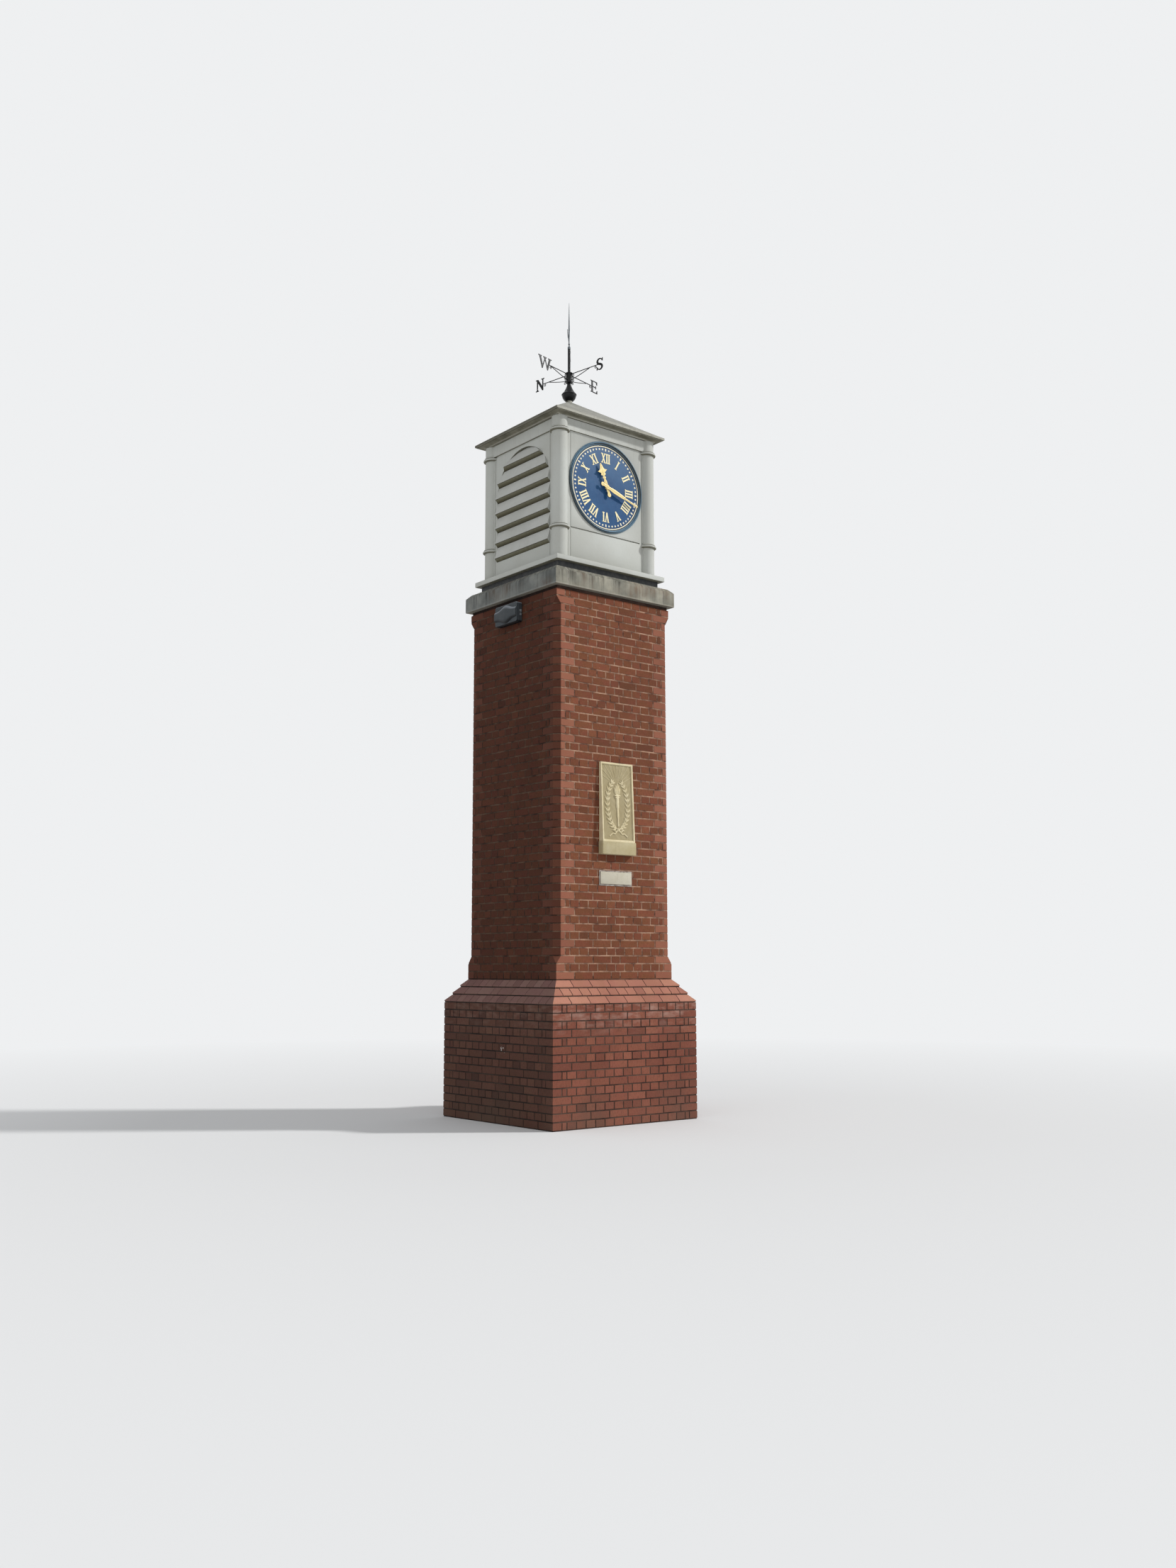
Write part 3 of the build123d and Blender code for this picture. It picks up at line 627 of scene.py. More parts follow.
def plain_paint(name, plain, worn, roughness, metallic=0.0, scale=24, grain=260, depth=0.0004, amount=0.5):
    """One paint or metal with cloudy wear and a fine grain."""
    paint = Paint(name, roughness, metallic)
    cloud = paint.clouded(scale, plain, worn, amount)
    paint.rough(cloud, 0.3, 0.7, max(roughness - 0.08, 0.05), min(roughness + 0.12, 1.0))
    paint.bump(paint.noise(grain, 3), depth)
    paint.done()


def carved_paint(name, stone, hollow, bleached):
    """Sandstone: paler on what stands out, darker in the hollows that 'tint' marks as 0."""
    paint = Paint(name, 0.92)
    grain = paint.noise(190, 4)
    paint.base = paint.ramp(paint.noise(9, 4, 2.0), (0.35, stone), (0.70, bleached))
    paint.coat(paint.attribute("tint"), 0.05, 0.55, 0.75, 0, hollow)
    paint.coat(grain, 0.55, 0.72, 0, 0.35, hollow)
    paint.coat(paint.noise(32, 4, 9.0, z=0.1), 0.60, 0.76, 0, 0.30, hollow)
    paint.bump(grain, 0.0011)
    paint.done()


def dial_paint():
    """Satin blue enamel, paler towards its top, partly bleaching and partly a painted reflection of the sky,
    with a faint bloom.
    """
    paint = Paint("dial_blue", 0.36, gloss=0.14)
    paint.base = paint.ramp(paint.noise(6, 4), (0.34, (28, 69, 112)), (0.66, (36, 81, 124)))
    # Paler towards the top: bleaching and a painted reflection.
    paint.coat(paint.axis("Z"), DIAL_Z - 0.10, DIAL_Z + 0.42, 0, 0.34, (112, 138, 164))
    bloom = paint.noise(42, 4, 3.0)
    paint.coat(bloom, 0.56, 0.78, 0, 0.08, (104, 130, 164))
    paint.rough(bloom, 0.35, 0.7, 0.32, 0.42)
    paint.done()


def bezel_paint():
    """The ring round the dial: blue, and darker where its hollow faces down or to the left, a painted shade.
    """
    paint = Paint("bezel_paint", 0.45)
    paint.clouded(14, (92, 122, 142), (70, 94, 112), 0.5)
    # Painted shade where the hollow faces down or to the left.
    hollow = paint.calc("ADD", paint.times(paint.outward("Z"), 0.78), paint.times(paint.outward("X"), 0.62))
    paint.coat(hollow, -0.60, -0.22, 0.9, 0, (62, 64, 62))
    paint.bump(paint.noise(260, 3), 0.0004)
    paint.done()


def light_paint():
    """Charcoal plastic, paler on what faces up, dust and a painted highlight, and near black on what faces
    down, a painted shade.
    """
    paint = Paint("light_grey", 0.5)
    paint.clouded(18, (56, 61, 65), (72, 76, 78), 0.4)
    # Paler on what faces up: dust and a painted highlight.
    paint.coat(paint.outward("Z"), 0.12, 0.50, 0, 0.85, (138, 144, 150))
    # Near black on what faces down: painted shade.
    paint.coat(paint.outward("Z"), -0.50, -0.12, 0.95, 0, (16, 17, 19))
    paint.bump(paint.noise(260, 3), 0.0004)
    paint.done()


def mix_paints():
    """Every material of the tower."""
    # The last colour of each brick paint, and of the shaft, plinth and bed mortars, is painted shade on the
    # left face.
    brick_paint("plinth_brick", ((104, 60, 48), (128, 74, 58), (150, 92, 73)), (76, 48, 42), (186, 178, 174),
                (182, 206, 214), salt=0.34, front=PLINTH_HALF)
    brick_paint("slope_brick", ((154, 102, 86), (172, 116, 97), (188, 134, 112)), (128, 88, 76),
                (196, 186, 182), (188, 208, 230), drag=0.25, front=PLINTH_HALF)
    brick_paint("shaft_brick", ((101, 57, 39), (119, 68, 46), (136, 81, 56)), (80, 46, 35), (202, 192, 184),
                (170, 163, 162), hues=0.45)
    brick_paint("corner_brick", ((132, 82, 64), (145, 91, 71), (158, 103, 81)), (112, 67, 52),
                (208, 198, 190), (160, 152, 150), drag=0.12)
    mortar_paint("shaft_mortar", (180, 143, 119), (92, 62, 49), 7.0, (138, 136, 134), SHAFT_FOOT)
    mortar_paint("plinth_mortar", (98, 76, 65), (50, 36, 31), 4.0, (190, 200, 204))
    mortar_paint("bed_mortar", (84, 62, 53), (52, 39, 34), 5.0, (160, 156, 154))
    mortar_paint("plate_mortar", (196, 190, 182), (126, 112, 104), 22.0)
    coping_paint()
    cornice_low, cornice_high = box("cornice")
    shell_paint("turret_shell", (189, 191, 185), (182, 183, 176), (128, 124, 108), cornice_low.z)
    shell_paint("cornice_shell", (178, 177, 167), (164, 162, 150), (104, 96, 80), cornice_high.z, wear=0.75,
                under_to=-0.62, algae_and_left_shade=0.82)
    louvre_paint()
    roof_paint()
    dial_paint()
    bezel_paint()
    light_paint()
    carved_paint("carved_stone", (212, 198, 160), (140, 126, 92), (226, 214, 180))
    carved_paint("block_stone", (180, 167, 130), (120, 106, 76), (192, 181, 148))
    carved_paint("plate_stone", (192, 185, 166), (140, 134, 118), (204, 198, 182))
    plain_paint("kerb_flashing", (62, 64, 66), (98, 98, 95), 0.6, depth=0.0012, grain=60)
    # Black: real paint on the hands' backs, and painted shade in the dial's margin ring and on the bezel's
    # inner edge.
    plain_paint("black_paint_and_gap_shade", (22, 24, 30), (36, 38, 44), 0.5, scale=40)
    plain_paint("numeral_gilt", (246, 234, 188), (228, 206, 146), 0.4, scale=60, amount=0.35)
    plain_paint("navy", (28, 36, 58), (40, 50, 74), 0.4)
    plain_paint("gilt_shade", (146, 110, 54), (120, 88, 44), 0.4, scale=60)
    plain_paint("gilt", (248, 226, 158), (220, 186, 112), 0.32, scale=60, amount=0.35)
    plain_paint("cream", (240, 234, 210), (222, 212, 180), 0.4, scale=60, amount=0.4)
    plain_paint("black_iron", (11, 12, 13), (24, 25, 27), 0.30, scale=30, depth=0.0006)
    plain_paint("vane_metal", (104, 110, 114), (70, 74, 77), 0.5, 0.2, scale=30)
    plain_paint("light_dark", (30, 32, 34), (46, 48, 50), 0.6)
    plain_paint("light_lens", (112, 117, 120), (134, 138, 138), 0.3)


# Brickwork


def row_of(*widths):
    """Start and end of each unit of a row, in metres from the row's left end."""
    places = []
    start = 0.0
    for width in widths:
        places.append((start, start + width))
        start += width + JOINT
    return places


def brick_tint(spread=0.13):
    """Most bricks are near the common colour, and a few were fired harder."""
    middle = 0.15 if chance.random() < 0.05 else 0.5
    return min(max(chance.gauss(middle, spread), 0.0), 1.0)


def lay_brick(heap, quarters, low, high, slot=0, cuts=(), edge=BRICK_EDGE):
    """One brick of the wall drawn at the front, with a tint of its own, turned to its face."""
    sink = chance.random() * 0.0009
    low = (low[0], low[1] + sink, low[2] + chance.uniform(-0.0007, 0.0007))
    high = (high[0], high[1], high[2] - chance.random() * 0.0012)
    if cuts:
        points, faces = cut_solid(box_corners(low, high), BOX_FACES, cuts, BRICK_EDGE)
    else:
        points, faces = block(low, high, edge, 0.0007), BLOCK_FACES
    heap.add(quarter_turn(points, quarters), faces, brick_tint(), slot, float(quarters % 4 == LEFT_QUARTERS))


def lay_course(heap, half, z0, stretchers, headers, first_face, corner_slot=0, corner_cuts=None,
               edge=BRICK_EDGE):
    """One course on four faces: stretcher rows with the corners on two of them, headers between."""
    z1 = z0 + COURSE
    z0 += JOINT
    for quarters in (first_face, first_face + 2):
        places = row_of(*stretchers)
        for n, (start, end) in enumerate(places):
            corner = n in (0, len(places) - 1)
            cuts = corner_cuts(-1 if n == 0 else 1) if corner and corner_cuts else ()
            lay_brick(heap, quarters, (start - half, -half, z0), (end - half, HEADER - half, z1),
                      corner_slot if corner else 0, cuts, edge)
    shift = HEADER + JOINT - half
    for quarters in (first_face + 1, first_face + 3):
        for start, end in row_of(*headers):
            lay_brick(heap, quarters, (start + shift, -half, z0), (end + shift, HEADER - half, z1), edge=edge)


def plane_of(a, b, c, outward):
    """A cutting plane through three points, with its normal on the outward side."""
    a, b, c = Vector(a), Vector(b), Vector(c)
    normal = (b - a).cross(c - a).normalized()
    return a, normal if normal.dot(Vector(outward)) > 0 else -normal


def shaft_corner_cuts(row):
    """The planes that chamfer the corner bricks of a row, counted from the top, or None."""
    top = SHAFT_TOP - (row - 1) * COURSE
    foot = top - COURSE
    half = SHAFT_HALF

    def cuts(side):
        outward = (side, -1, 0)
        first, second = (side * (half - CHAMFER), -half), (side * half, CHAMFER - half)
        for stop_row, tip, end in ((HIGH_STOP_ROW, top, foot), (LOW_STOP_ROW, foot, top)):
            if row == stop_row:
                return [plane_of((side * half, -half, tip), (*first, end), (*second, end), outward)]
        return [(Vector((*first, foot)), Vector(outward).normalized())]

    return cuts if HIGH_STOP_ROW <= row <= LOW_STOP_ROW else None


def eight_sided(z, half, leg=NO_CHAMFER):
    """A square section with cut corners, at one height."""
    near = half - leg
    corners = [(-near, -half), (near, -half), (half, -near), (half, near),
               (near, half), (-near, half), (-half, near), (-half, -near)]
    return [(x, y, z) for x, y in corners]


def make_shaft():
    """Fifty courses of English bond with special bricks at the corners, and their mortar."""
    heap = Heap()
    stretchers = [STRETCHER] * 3 + [HEADER] + [STRETCHER] * 3
    headers = [CLOSER] + [HEADER] * 10 + [CLOSER]
    for row in range(1, SHAFT_ROWS + 1):
        lay_course(heap, SHAFT_HALF, SHAFT_TOP - row * COURSE, stretchers, headers, row % 2, 1,
                   shaft_corner_cuts(row))
    heap.make("shaft_bricks", ["shaft_brick", "corner_brick"], nodes=["brick_shaft"])

    core = Heap()
    half = SHAFT_HALF - SHAFT_JOINT_DEPTH
    leg = CHAMFER - SHAFT_JOINT_DEPTH * (2 - math.sqrt(2))
    low_stop = SHAFT_TOP - LOW_STOP_ROW * COURSE
    high_stop = SHAFT_TOP - HIGH_STOP_ROW * COURSE
    levels = [(SHAFT_FOOT, NO_CHAMFER), (low_stop, NO_CHAMFER), (low_stop + COURSE, leg), (high_stop, leg),
              (high_stop + COURSE, NO_CHAMFER), (SHAFT_TOP - JOINT / 2, NO_CHAMFER)]
    core.add(*loft([eight_sided(z, half, cut) for z, cut in levels]))
    bed_half = SHAFT_HALF - 0.012
    core.block((-bed_half, -bed_half, SHAFT_TOP - 0.02), (bed_half, bed_half, BED_TOP), 0.002, slot=1)
    core.make("shaft_mortar", ["shaft_mortar", "bed_mortar"])


def make_plinth():
    """Fifteen courses of English bond with deep dark joints."""
    heap = Heap()
    stretchers = [STRETCHER] * 8
    headers = [CLOSER] + [HEADER] * 13 + [CLOSER]
    for row in range(1, PLINTH_ROWS + 1):
        lay_course(heap, PLINTH_HALF, PLINTH_TOP - row * COURSE, stretchers, headers, row % 2,
                   edge=PLINTH_EDGE)
    heap.make("plinth_bricks", ["plinth_brick"], nodes=["plinth"])
    core = Heap()
    half = PLINTH_HALF - PLINTH_JOINT_DEPTH
    core.block((-half, -half, 0.0), (half, half, PLINTH_TOP - 0.004), 0.002)
    core.make("plinth_mortar", ["plinth_mortar"])


def slope_brick(x0, x1, half, z0, profile, depth):
    """One sloped brick, mitred where it reaches a corner."""
    sink = chance.random() * 0.0012
    points, faces = loft([[(x, sink + d - half, z0 + z) for d, z in profile] for x in (x0, x1)])
    cuts = []
    for side in (-1, 1):
        if max(abs(x0), abs(x1)) > half - depth - JOINT and (x0 + x1) * side > 0:
            normal = Vector((side, 1, 0)).normalized()
            cuts.append((Vector((side * half, -half, 0)) - normal * 0.0006, normal))
    return cut_solid(points, faces, cuts, PLINTH_EDGE)


def make_slope():
    """Three courses of plinth bricks, each one set back behind its nose."""
    heap = Heap()
    core = Heap()
    setback = (PLINTH_HALF - SHAFT_HALF) / SLOPE_ROWS
    depth = setback + 0.05
    profile = [(0.0, JOINT), (0.0, SLOPE_NOSE), (setback, COURSE), (depth, COURSE), (depth, JOINT)]
    front_rows = [[STRETCHER] * 8, [HEADER] * 15, [STRETCHER] * 7]
    side_rows = [[HEADER] * 16, [STRETCHER] * 3 + [HEADER] + [STRETCHER] * 4, [HEADER] * 14]
    for n in range(SLOPE_ROWS):
        half = PLINTH_HALF - n * setback
        z0 = PLINTH_TOP + n * COURSE
        for quarters in range(4):
            for start, end in row_of(*(front_rows if quarters % 2 == 0 else side_rows)[n]):
                points, faces = slope_brick(start - half - SLOPE_SPREAD, end - half + SLOPE_SPREAD, half, z0,
                                            profile, depth)
                heap.add(quarter_turn(points, quarters), faces, brick_tint(0.18),
                         left=float(quarters == LEFT_QUARTERS))
        inner = half - PLINTH_JOINT_DEPTH
        drop = PLINTH_JOINT_DEPTH * 0.6
        core.add(*loft([eight_sided(z0, inner), eight_sided(z0 + SLOPE_NOSE - drop, inner),
                        eight_sided(z0 + COURSE - drop, inner - setback),
                        eight_sided(z0 + COURSE, inner - setback)]))
    heap.make("slope_bricks", ["slope_brick"], nodes=["plinth_slope"])
    core.make("slope_mortar", ["plinth_mortar"])


# Coping and turret


def soften(name, paint, bevel, segments=2, body="tower", planes=()):
    """A copy of a CAD node with rounded edges, in its place; planes gives wall faces that lie further in."""
    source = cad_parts[name]
    shape = bmesh.new()
    shape.from_mesh(source.data)
    shape.transform(source.matrix_world)
    for vert in shape.verts:
        for old, new in planes:
            if abs(abs(vert.co.y) - old) < 0.0002:
                vert.co.y = math.copysign(new, vert.co.y)
    bmesh.ops.remove_doubles(shape, verts=shape.verts[:], dist=0.00002)
    bmesh.ops.dissolve_limit(shape, angle_limit=math.radians(0.5), verts=shape.verts[:], edges=shape.edges[:])
    sharp = [e for e in shape.edges if e.is_manifold and abs(e.calc_face_angle(0)) > math.radians(24)]
    if bevel:
        bmesh.ops.bevel(shape, geom=sharp, offset=bevel, segments=segments, affect="EDGES", profile=0.5,
                        clamp_overlap=True)
    heap = Heap()
    heap.add(*lists_of(shape))
    heap.make(f"{name}_worn", [paint], 30, [name], body)


def make_turned(name, node, paint, profile, sides, smooth=40):
    """A round piece on the tower's axis that stands for one node."""
    heap = Heap()
    heap.add(*turned(profile, sides))
    heap.make(name, [paint], smooth, [node])


def make_coping():
    """Weathered slabs and the pale joints between them."""
    for side in ("front", "back", "left", "right"):
        soften(f"coping_{side}", "coping_stone", 0.007, 3)
    inner = box("coping_front")[1].x
    low, high = box("coping_left")
    inner_edge, face = -low.x - 0.12, -low.x - 0.0025
    foot, face_top = low.z + 0.004, high.z - 0.060
    chamfer, joint_half = 0.045, 0.0045
    outline = [(inner_edge, foot), (face, foot), (face, face_top), (face - chamfer, face_top + chamfer),
               (inner_edge, high.z - 0.001)]
    heap = Heap()
    for quarters in (0, 2):
        for side in (-1, 1):
            points, faces = loft([[(side * inner + x, -d, z) for d, z in outline]
                                  for x in (-joint_half, joint_half)])
            heap.add(quarter_turn(points, quarters), faces)
    heap.make("coping_joints", ["plate_mortar"])


def make_columns():
    """Four corner columns, each with two rings: a half-round band and a small bead above it."""
    low, high = box("corner_column_front_left")
    radius, band_bow, bead_bow = 0.080, 0.014, 0.006
    band_centre = 0.103 - band_bow
    bead_centre = radius + 0.005
    profile = [(0, low.z), (radius, low.z)]
    for foot in (low.z + 0.300, low.z + 1.293):
        profile += [(radius, foot - 0.004), (band_centre, foot)]
        profile += bow(band_centre, foot + band_bow, band_bow, -90, 90, 8)
        profile += [(radius + 0.006, foot + 2 * band_bow)]
        profile += bow(bead_centre, foot + 0.036, bead_bow, -70, 90, 5)
        profile += [(radius + 0.001, foot + 0.047), (radius, foot + 0.052)]
    profile += [(radius, high.z), (0, high.z)]
    points, faces = turned(profile, 72)
    for across in ("left", "right"):
        for along in ("front", "back"):
            node = f"corner_column_{along}_{across}"
            low, high = box(node)
            heap = Heap()
            heap.add(moved(points, (low.x + high.x) / 2, (low.y + high.y) / 2), faces)
            heap.make(f"{along}_{across}_column", ["turret_shell"], 40, [node])


def make_cornice():
    """The eaves: a hollow moulding, a small drip and a square fascia."""
    low, high = box("cornice")
    half = high.x
    lip, lip_top = half - 0.015, high.z - 0.025
    cove, cove_top = 0.634, lip_top - 0.004
    levels = [(low.z, PANEL_PLANE + 0.028)]
    for n in range(9):
        t = math.pi / 2 * n / 8
        levels.append((low.z + (cove_top - low.z) * math.sin(t), cove + (lip - cove) * (1 - math.cos(t))))
    levels += [(cove_top, lip), (lip_top, lip), (lip_top, half - 0.0015), (lip_top + 0.0015, half),
               (high.z - 0.002, half), (high.z, half - 0.002)]
    heap = Heap()
    heap.add(*loft([[(-h, -h, z), (h, -h, z), (h, h, z), (-h, h, z)] for z, h in levels]))
    heap.make("eaves", ["cornice_shell"], 26, ["cornice"])


def make_louvre_wall(side, quarters):
    """A panel with an arched opening for the louvre, between grooves and stiles, under a frieze."""
    low, high = box(f"{side}_louvre")
    edge, stile, back = 0.570, 0.484, 0.540
    spring = high.z - LOUVRE_HALF
    slabs = [(-edge, edge, back, RECESS_FACE, PANEL_FOOT, PANEL_TOP),
             (-edge, edge, RECESS_FACE, FRIEZE_FACE, FRIEZE_FOOT, PANEL_TOP),
             (-LOUVRE_HALF, LOUVRE_HALF, RECESS_FACE, FIELD_FACE, PANEL_FOOT, low.z - 0.002)]
    for sign in (-1, 1):
        for a, b, face in ((LOUVRE_HALF, stile, GROOVE_FACE), (stile, edge, STILE_FACE)):
            slabs.append((*sorted((sign * a, sign * b)), RECESS_FACE, face, PANEL_FOOT, FRIEZE_FOOT))
    heap = Heap()
    for x0, x1, inner, face, z0, z1 in slabs:
        heap.block((x0, -face, z0), (x1, -inner, z1), 0.0018)
    arc = bow(0, spring, LOUVRE_HALF - 0.0008, 0, 180, 64)
    spandrel = [(LOUVRE_HALF, FRIEZE_FOOT), (LOUVRE_HALF, spring)] + arc
    spandrel += [(-LOUVRE_HALF, spring), (-LOUVRE_HALF, FRIEZE_FOOT)]
    points, faces = plate(spandrel, FIELD_FACE - RECESS_FACE, 0)
    heap.add(moved(points, y=-(FIELD_FACE + RECESS_FACE) / 2), faces)
    heap.turn(quarters)
    heap.make(f"{side}_wall", ["turret_shell"], nodes=[f"{side}_panel"])


def make_louvre(side, quarters):
    """Seven lapped blades that lean out to their lips, cut to the arch."""
    low, high = box(f"{side}_louvre")
    blades, pitch, lap, lip, steps = 7, 0.158, 0.037, 0.003, 12
    sill_face, top_inner = 0.612, 0.571
    spring = high.z - LOUVRE_HALF
    lowest = low.z + 0.034
    levels = [(low.z, FIELD_FACE), (lowest - 0.020, sill_face)]
    for n in range(blades):
        edge = lowest + n * pitch
        inner = LOUVRE_INNER if n < blades - 1 else top_inner
        levels += [(edge - 0.0012, LOUVRE_OUTER - 0.0020), (edge, LOUVRE_OUTER - 0.0005),
                   (edge + lip, LOUVRE_OUTER)]
        for step in range(1, steps + 1):
            t = step / steps
            levels.append((edge + lip + (pitch - lap - lip) * t, LOUVRE_OUTER + (inner - LOUVRE_OUTER) * t))
    sections = []
    back = -RECESS_FACE + 0.002
    radius = LOUVRE_HALF - 0.0030
    for z, d in levels:
        if z < high.z - 0.003:
            w = math.sqrt(max(radius ** 2 - max(z - spring, 0) ** 2, 0.0001))
            sections.append([(-w, -d, z), (w, -d, z), (w, back, z), (-w, back, z)])
    heap = Heap()
    heap.add(*loft(sections))
    heap.turn(quarters)
    heap.make(f"{side}_blades", ["louvre_shell"], 18, [f"{side}_louvre"])


def make_groove_linings(side, quarters):
    """Strips that leave the upright grooves beside the clock's field shallow."""
    inner, outer, back = 0.4515, 0.4845, 0.5860
    heap = Heap()
    for sign in (-1, 1):
        x0, x1 = sorted((sign * inner, sign * outer))
        heap.block((x0, -GROOVE_FACE, PANEL_FOOT + 0.001), (x1, -back, FRIEZE_FOOT + 0.001), 0.001)
    heap.turn(quarters)
    heap.make(f"{side}_groove_linings", ["turret_shell"])


def make_turret():
    """The moulded turret from its kerb to the collar on its roof."""
    soften("turret_kerb", "kerb_flashing", 0.003)
    soften("turret_base", "turret_shell", 0.005, 3)
    for side, quarters in (("front", 0), ("back", 2)):
        soften(f"{side}_panel", "turret_shell", 0.0018,
               planes=((CAD_STILE_FACE, STILE_FACE), (CAD_FRIEZE_FACE, FRIEZE_FACE)))
        make_groove_linings(side, quarters)
    for side, quarters in (("right", 1), ("left", 3)):
        make_louvre_wall(side, quarters)
        make_louvre(side, quarters)
    make_cornice()
    soften("turret_roof", "roof_shell", 0.008, 3)
    low, high = box("roof_collar")
    foot, radius = low.z - 0.006, high.x
    profile = [(0, foot), (radius, foot), (radius, high.z - 0.003), (radius - 0.003, high.z), (0, high.z)]
    make_turned("collar", "roof_collar", "cornice_shell", profile, 48)
    make_columns()


# Clocks: each is drawn at the front with the dial's centre at the origin, then lifted and turned


MINUTE = math.tau / 60
NAVY_INNER, LINE_INNER, LINE_OUTER, GAP_OUTER = 0.4160, 0.4232, 0.4322, 0.4366
MARK_FOOT = -0.001
NUMERAL_FOOT, NUMERAL_HEIGHT = 0.257, 0.102
NUMERALS = ["XII", "I", "II", "III", "IIII", "V", "VI", "VII", "VIII", "IX", "X", "XI"]


def make_dial(side, quarters):
    """The blue plate with the bush at its middle."""
    face, back, top = DIAL_FACE, DIAL_FACE - 0.012, DIAL_FACE + BUSH_STAND
    edge, bush = 0.4368, 0.026
    profile = [(0, back), (edge, back), (edge, face - 0.001), (edge - 0.0008, face), (edge - 0.0023, face),
               (0.0315, face), (0.0300, face), (0.0296, face + 0.0015), (bush, face + 0.0020),
               (bush, top - 0.002), (bush - 0.002, top), (0, top)]
    heap = Heap()
    heap.face(turned(profile, 128))
    heap.turn(quarters, DIAL_Z)
    heap.make(f"{side}_dial_plate", ["dial_blue"], 12, [f"{side}_dial"])


def make_margin(side, quarters):
    """The black ring at the dial's edge, a painted shade for the gap under the bezel, and the navy line
    inside the thin raised line.
    """
    heap = Heap()
    rings = ((LINE_OUTER, GAP_OUTER, 0.0010), (NAVY_INNER, LINE_INNER, 0.0008))
    for slot, (inner, outer, stand) in enumerate(rings):
        low, high = DIAL_FACE + MARK_FOOT, DIAL_FACE + stand
        heap.face(turned_ring([(inner, low), (inner, high), (outer, high), (outer, low)]), slot=slot)
    heap.turn(quarters, DIAL_Z)
    heap.make(f"{side}_margin", ["black_paint_and_gap_shade", "navy"], 30)


def make_minute_marks(side, quarters):
    """The thin raised line, a bar at every fifth minute and a stud at the others."""
    line = [(LINE_INNER, MARK_FOOT), (LINE_INNER, 0.0022), ((LINE_INNER + LINE_OUTER) / 2, 0.0034),
            (LINE_OUTER, 0.0022), (LINE_OUTER, MARK_FOOT)]
    heap = Heap()
    heap.face(turned_ring(line), -DIAL_FACE)
    radius, stud_place = 0.0096, 0.398
    profile = [(0, MARK_FOOT), (radius, MARK_FOOT), (radius, 0.0012), (radius - 0.0018, 0.0024), (0, 0.0030)]
    stud, stud_faces = turned(profile, 16)
    stud = moved(facing(stud), y=-DIAL_FACE, z=stud_place)
    bar_half, bar_foot, bar_top, bar_stand = 0.0082, 0.383, 0.412, 0.0026
    bar = block((-bar_half, -DIAL_FACE - bar_stand, bar_foot), (bar_half, -DIAL_FACE - MARK_FOOT, bar_top),
                0.0014)
    for minute in range(60):
        points, faces = (stud, stud_faces) if minute % 5 else (bar, BLOCK_FACES)
        heap.add(clockwise(points, minute * MINUTE), faces)
    heap.turn(quarters, DIAL_Z)
    heap.make(f"{side}_minute_marks", ["cream"], 30)


def stroke(x0, z0, x1, z1, width):
    """Outline of a straight stroke with level ends."""
    half = width / 2
    return [(x0 - half, z0), (x0 + half, z0), (x1 + half, z1), (x1 - half, z1)]


def numeral_strokes(text):
    """Outlines of the strokes of a Roman numeral, centred on X, and their heights above the dial."""
    thick, thin, serif = 0.0162, 0.0112, 0.0086
    thick_stand, thin_stand, serif_stand = 0.0026, 0.0023, 0.0020
    widths = {"I": 0.0290, "V": 0.059, "X": 0.060}
    top = NUMERAL_HEIGHT
    x = -sum(widths[c] for c in text) / 2
    strokes = []
    for letter in text:
        width = widths[letter]
        middle = x + width / 2
        left, right = middle - (width / 2 - 0.0115), middle + (width / 2 - 0.0115)
        if letter == "I":
            strokes.append((stroke(middle, 0, middle, top, thick), thick_stand))
            feet = [(middle, width, 0), (middle, width, 1)]
        elif letter == "V":
            strokes.append((stroke(left, top, middle + 0.002, 0, thick), thick_stand))
            strokes.append((stroke(right, top, middle + 0.002, 0, thin), thin_stand))
            feet = [(left, 0.025, 1), (right, 0.022, 1)]
        else:
            strokes.append((stroke(left, top, right, 0, thick), thick_stand))
            strokes.append((stroke(right, top, left, 0, thin), thin_stand))
            feet = [(foot, 0.024, end) for foot in (left, right) for end in (0, 1)]
        for foot, foot_width, end in feet:
            z = end * (top - serif)
            strokes.append((stroke(foot, z, foot, z + serif, foot_width), serif_stand))
        x += width
    return strokes


def make_numerals(side, quarters):
    """Roman numerals in raised strokes, their feet towards the centre."""
    heap = Heap()
    for hour, text in enumerate(NUMERALS):
        for outline, stand in numeral_strokes(text):
            points, faces = plate([(x, z + NUMERAL_FOOT) for x, z in outline], stand + 0.001, 0.0006)
            points = moved(points, y=-DIAL_FACE - (stand - 0.001) / 2)
            heap.add(clockwise(points, hour * 5 * MINUTE), faces)
    heap.turn(quarters, DIAL_Z)
    heap.make(f"{side}_numerals", ["numeral_gilt"])


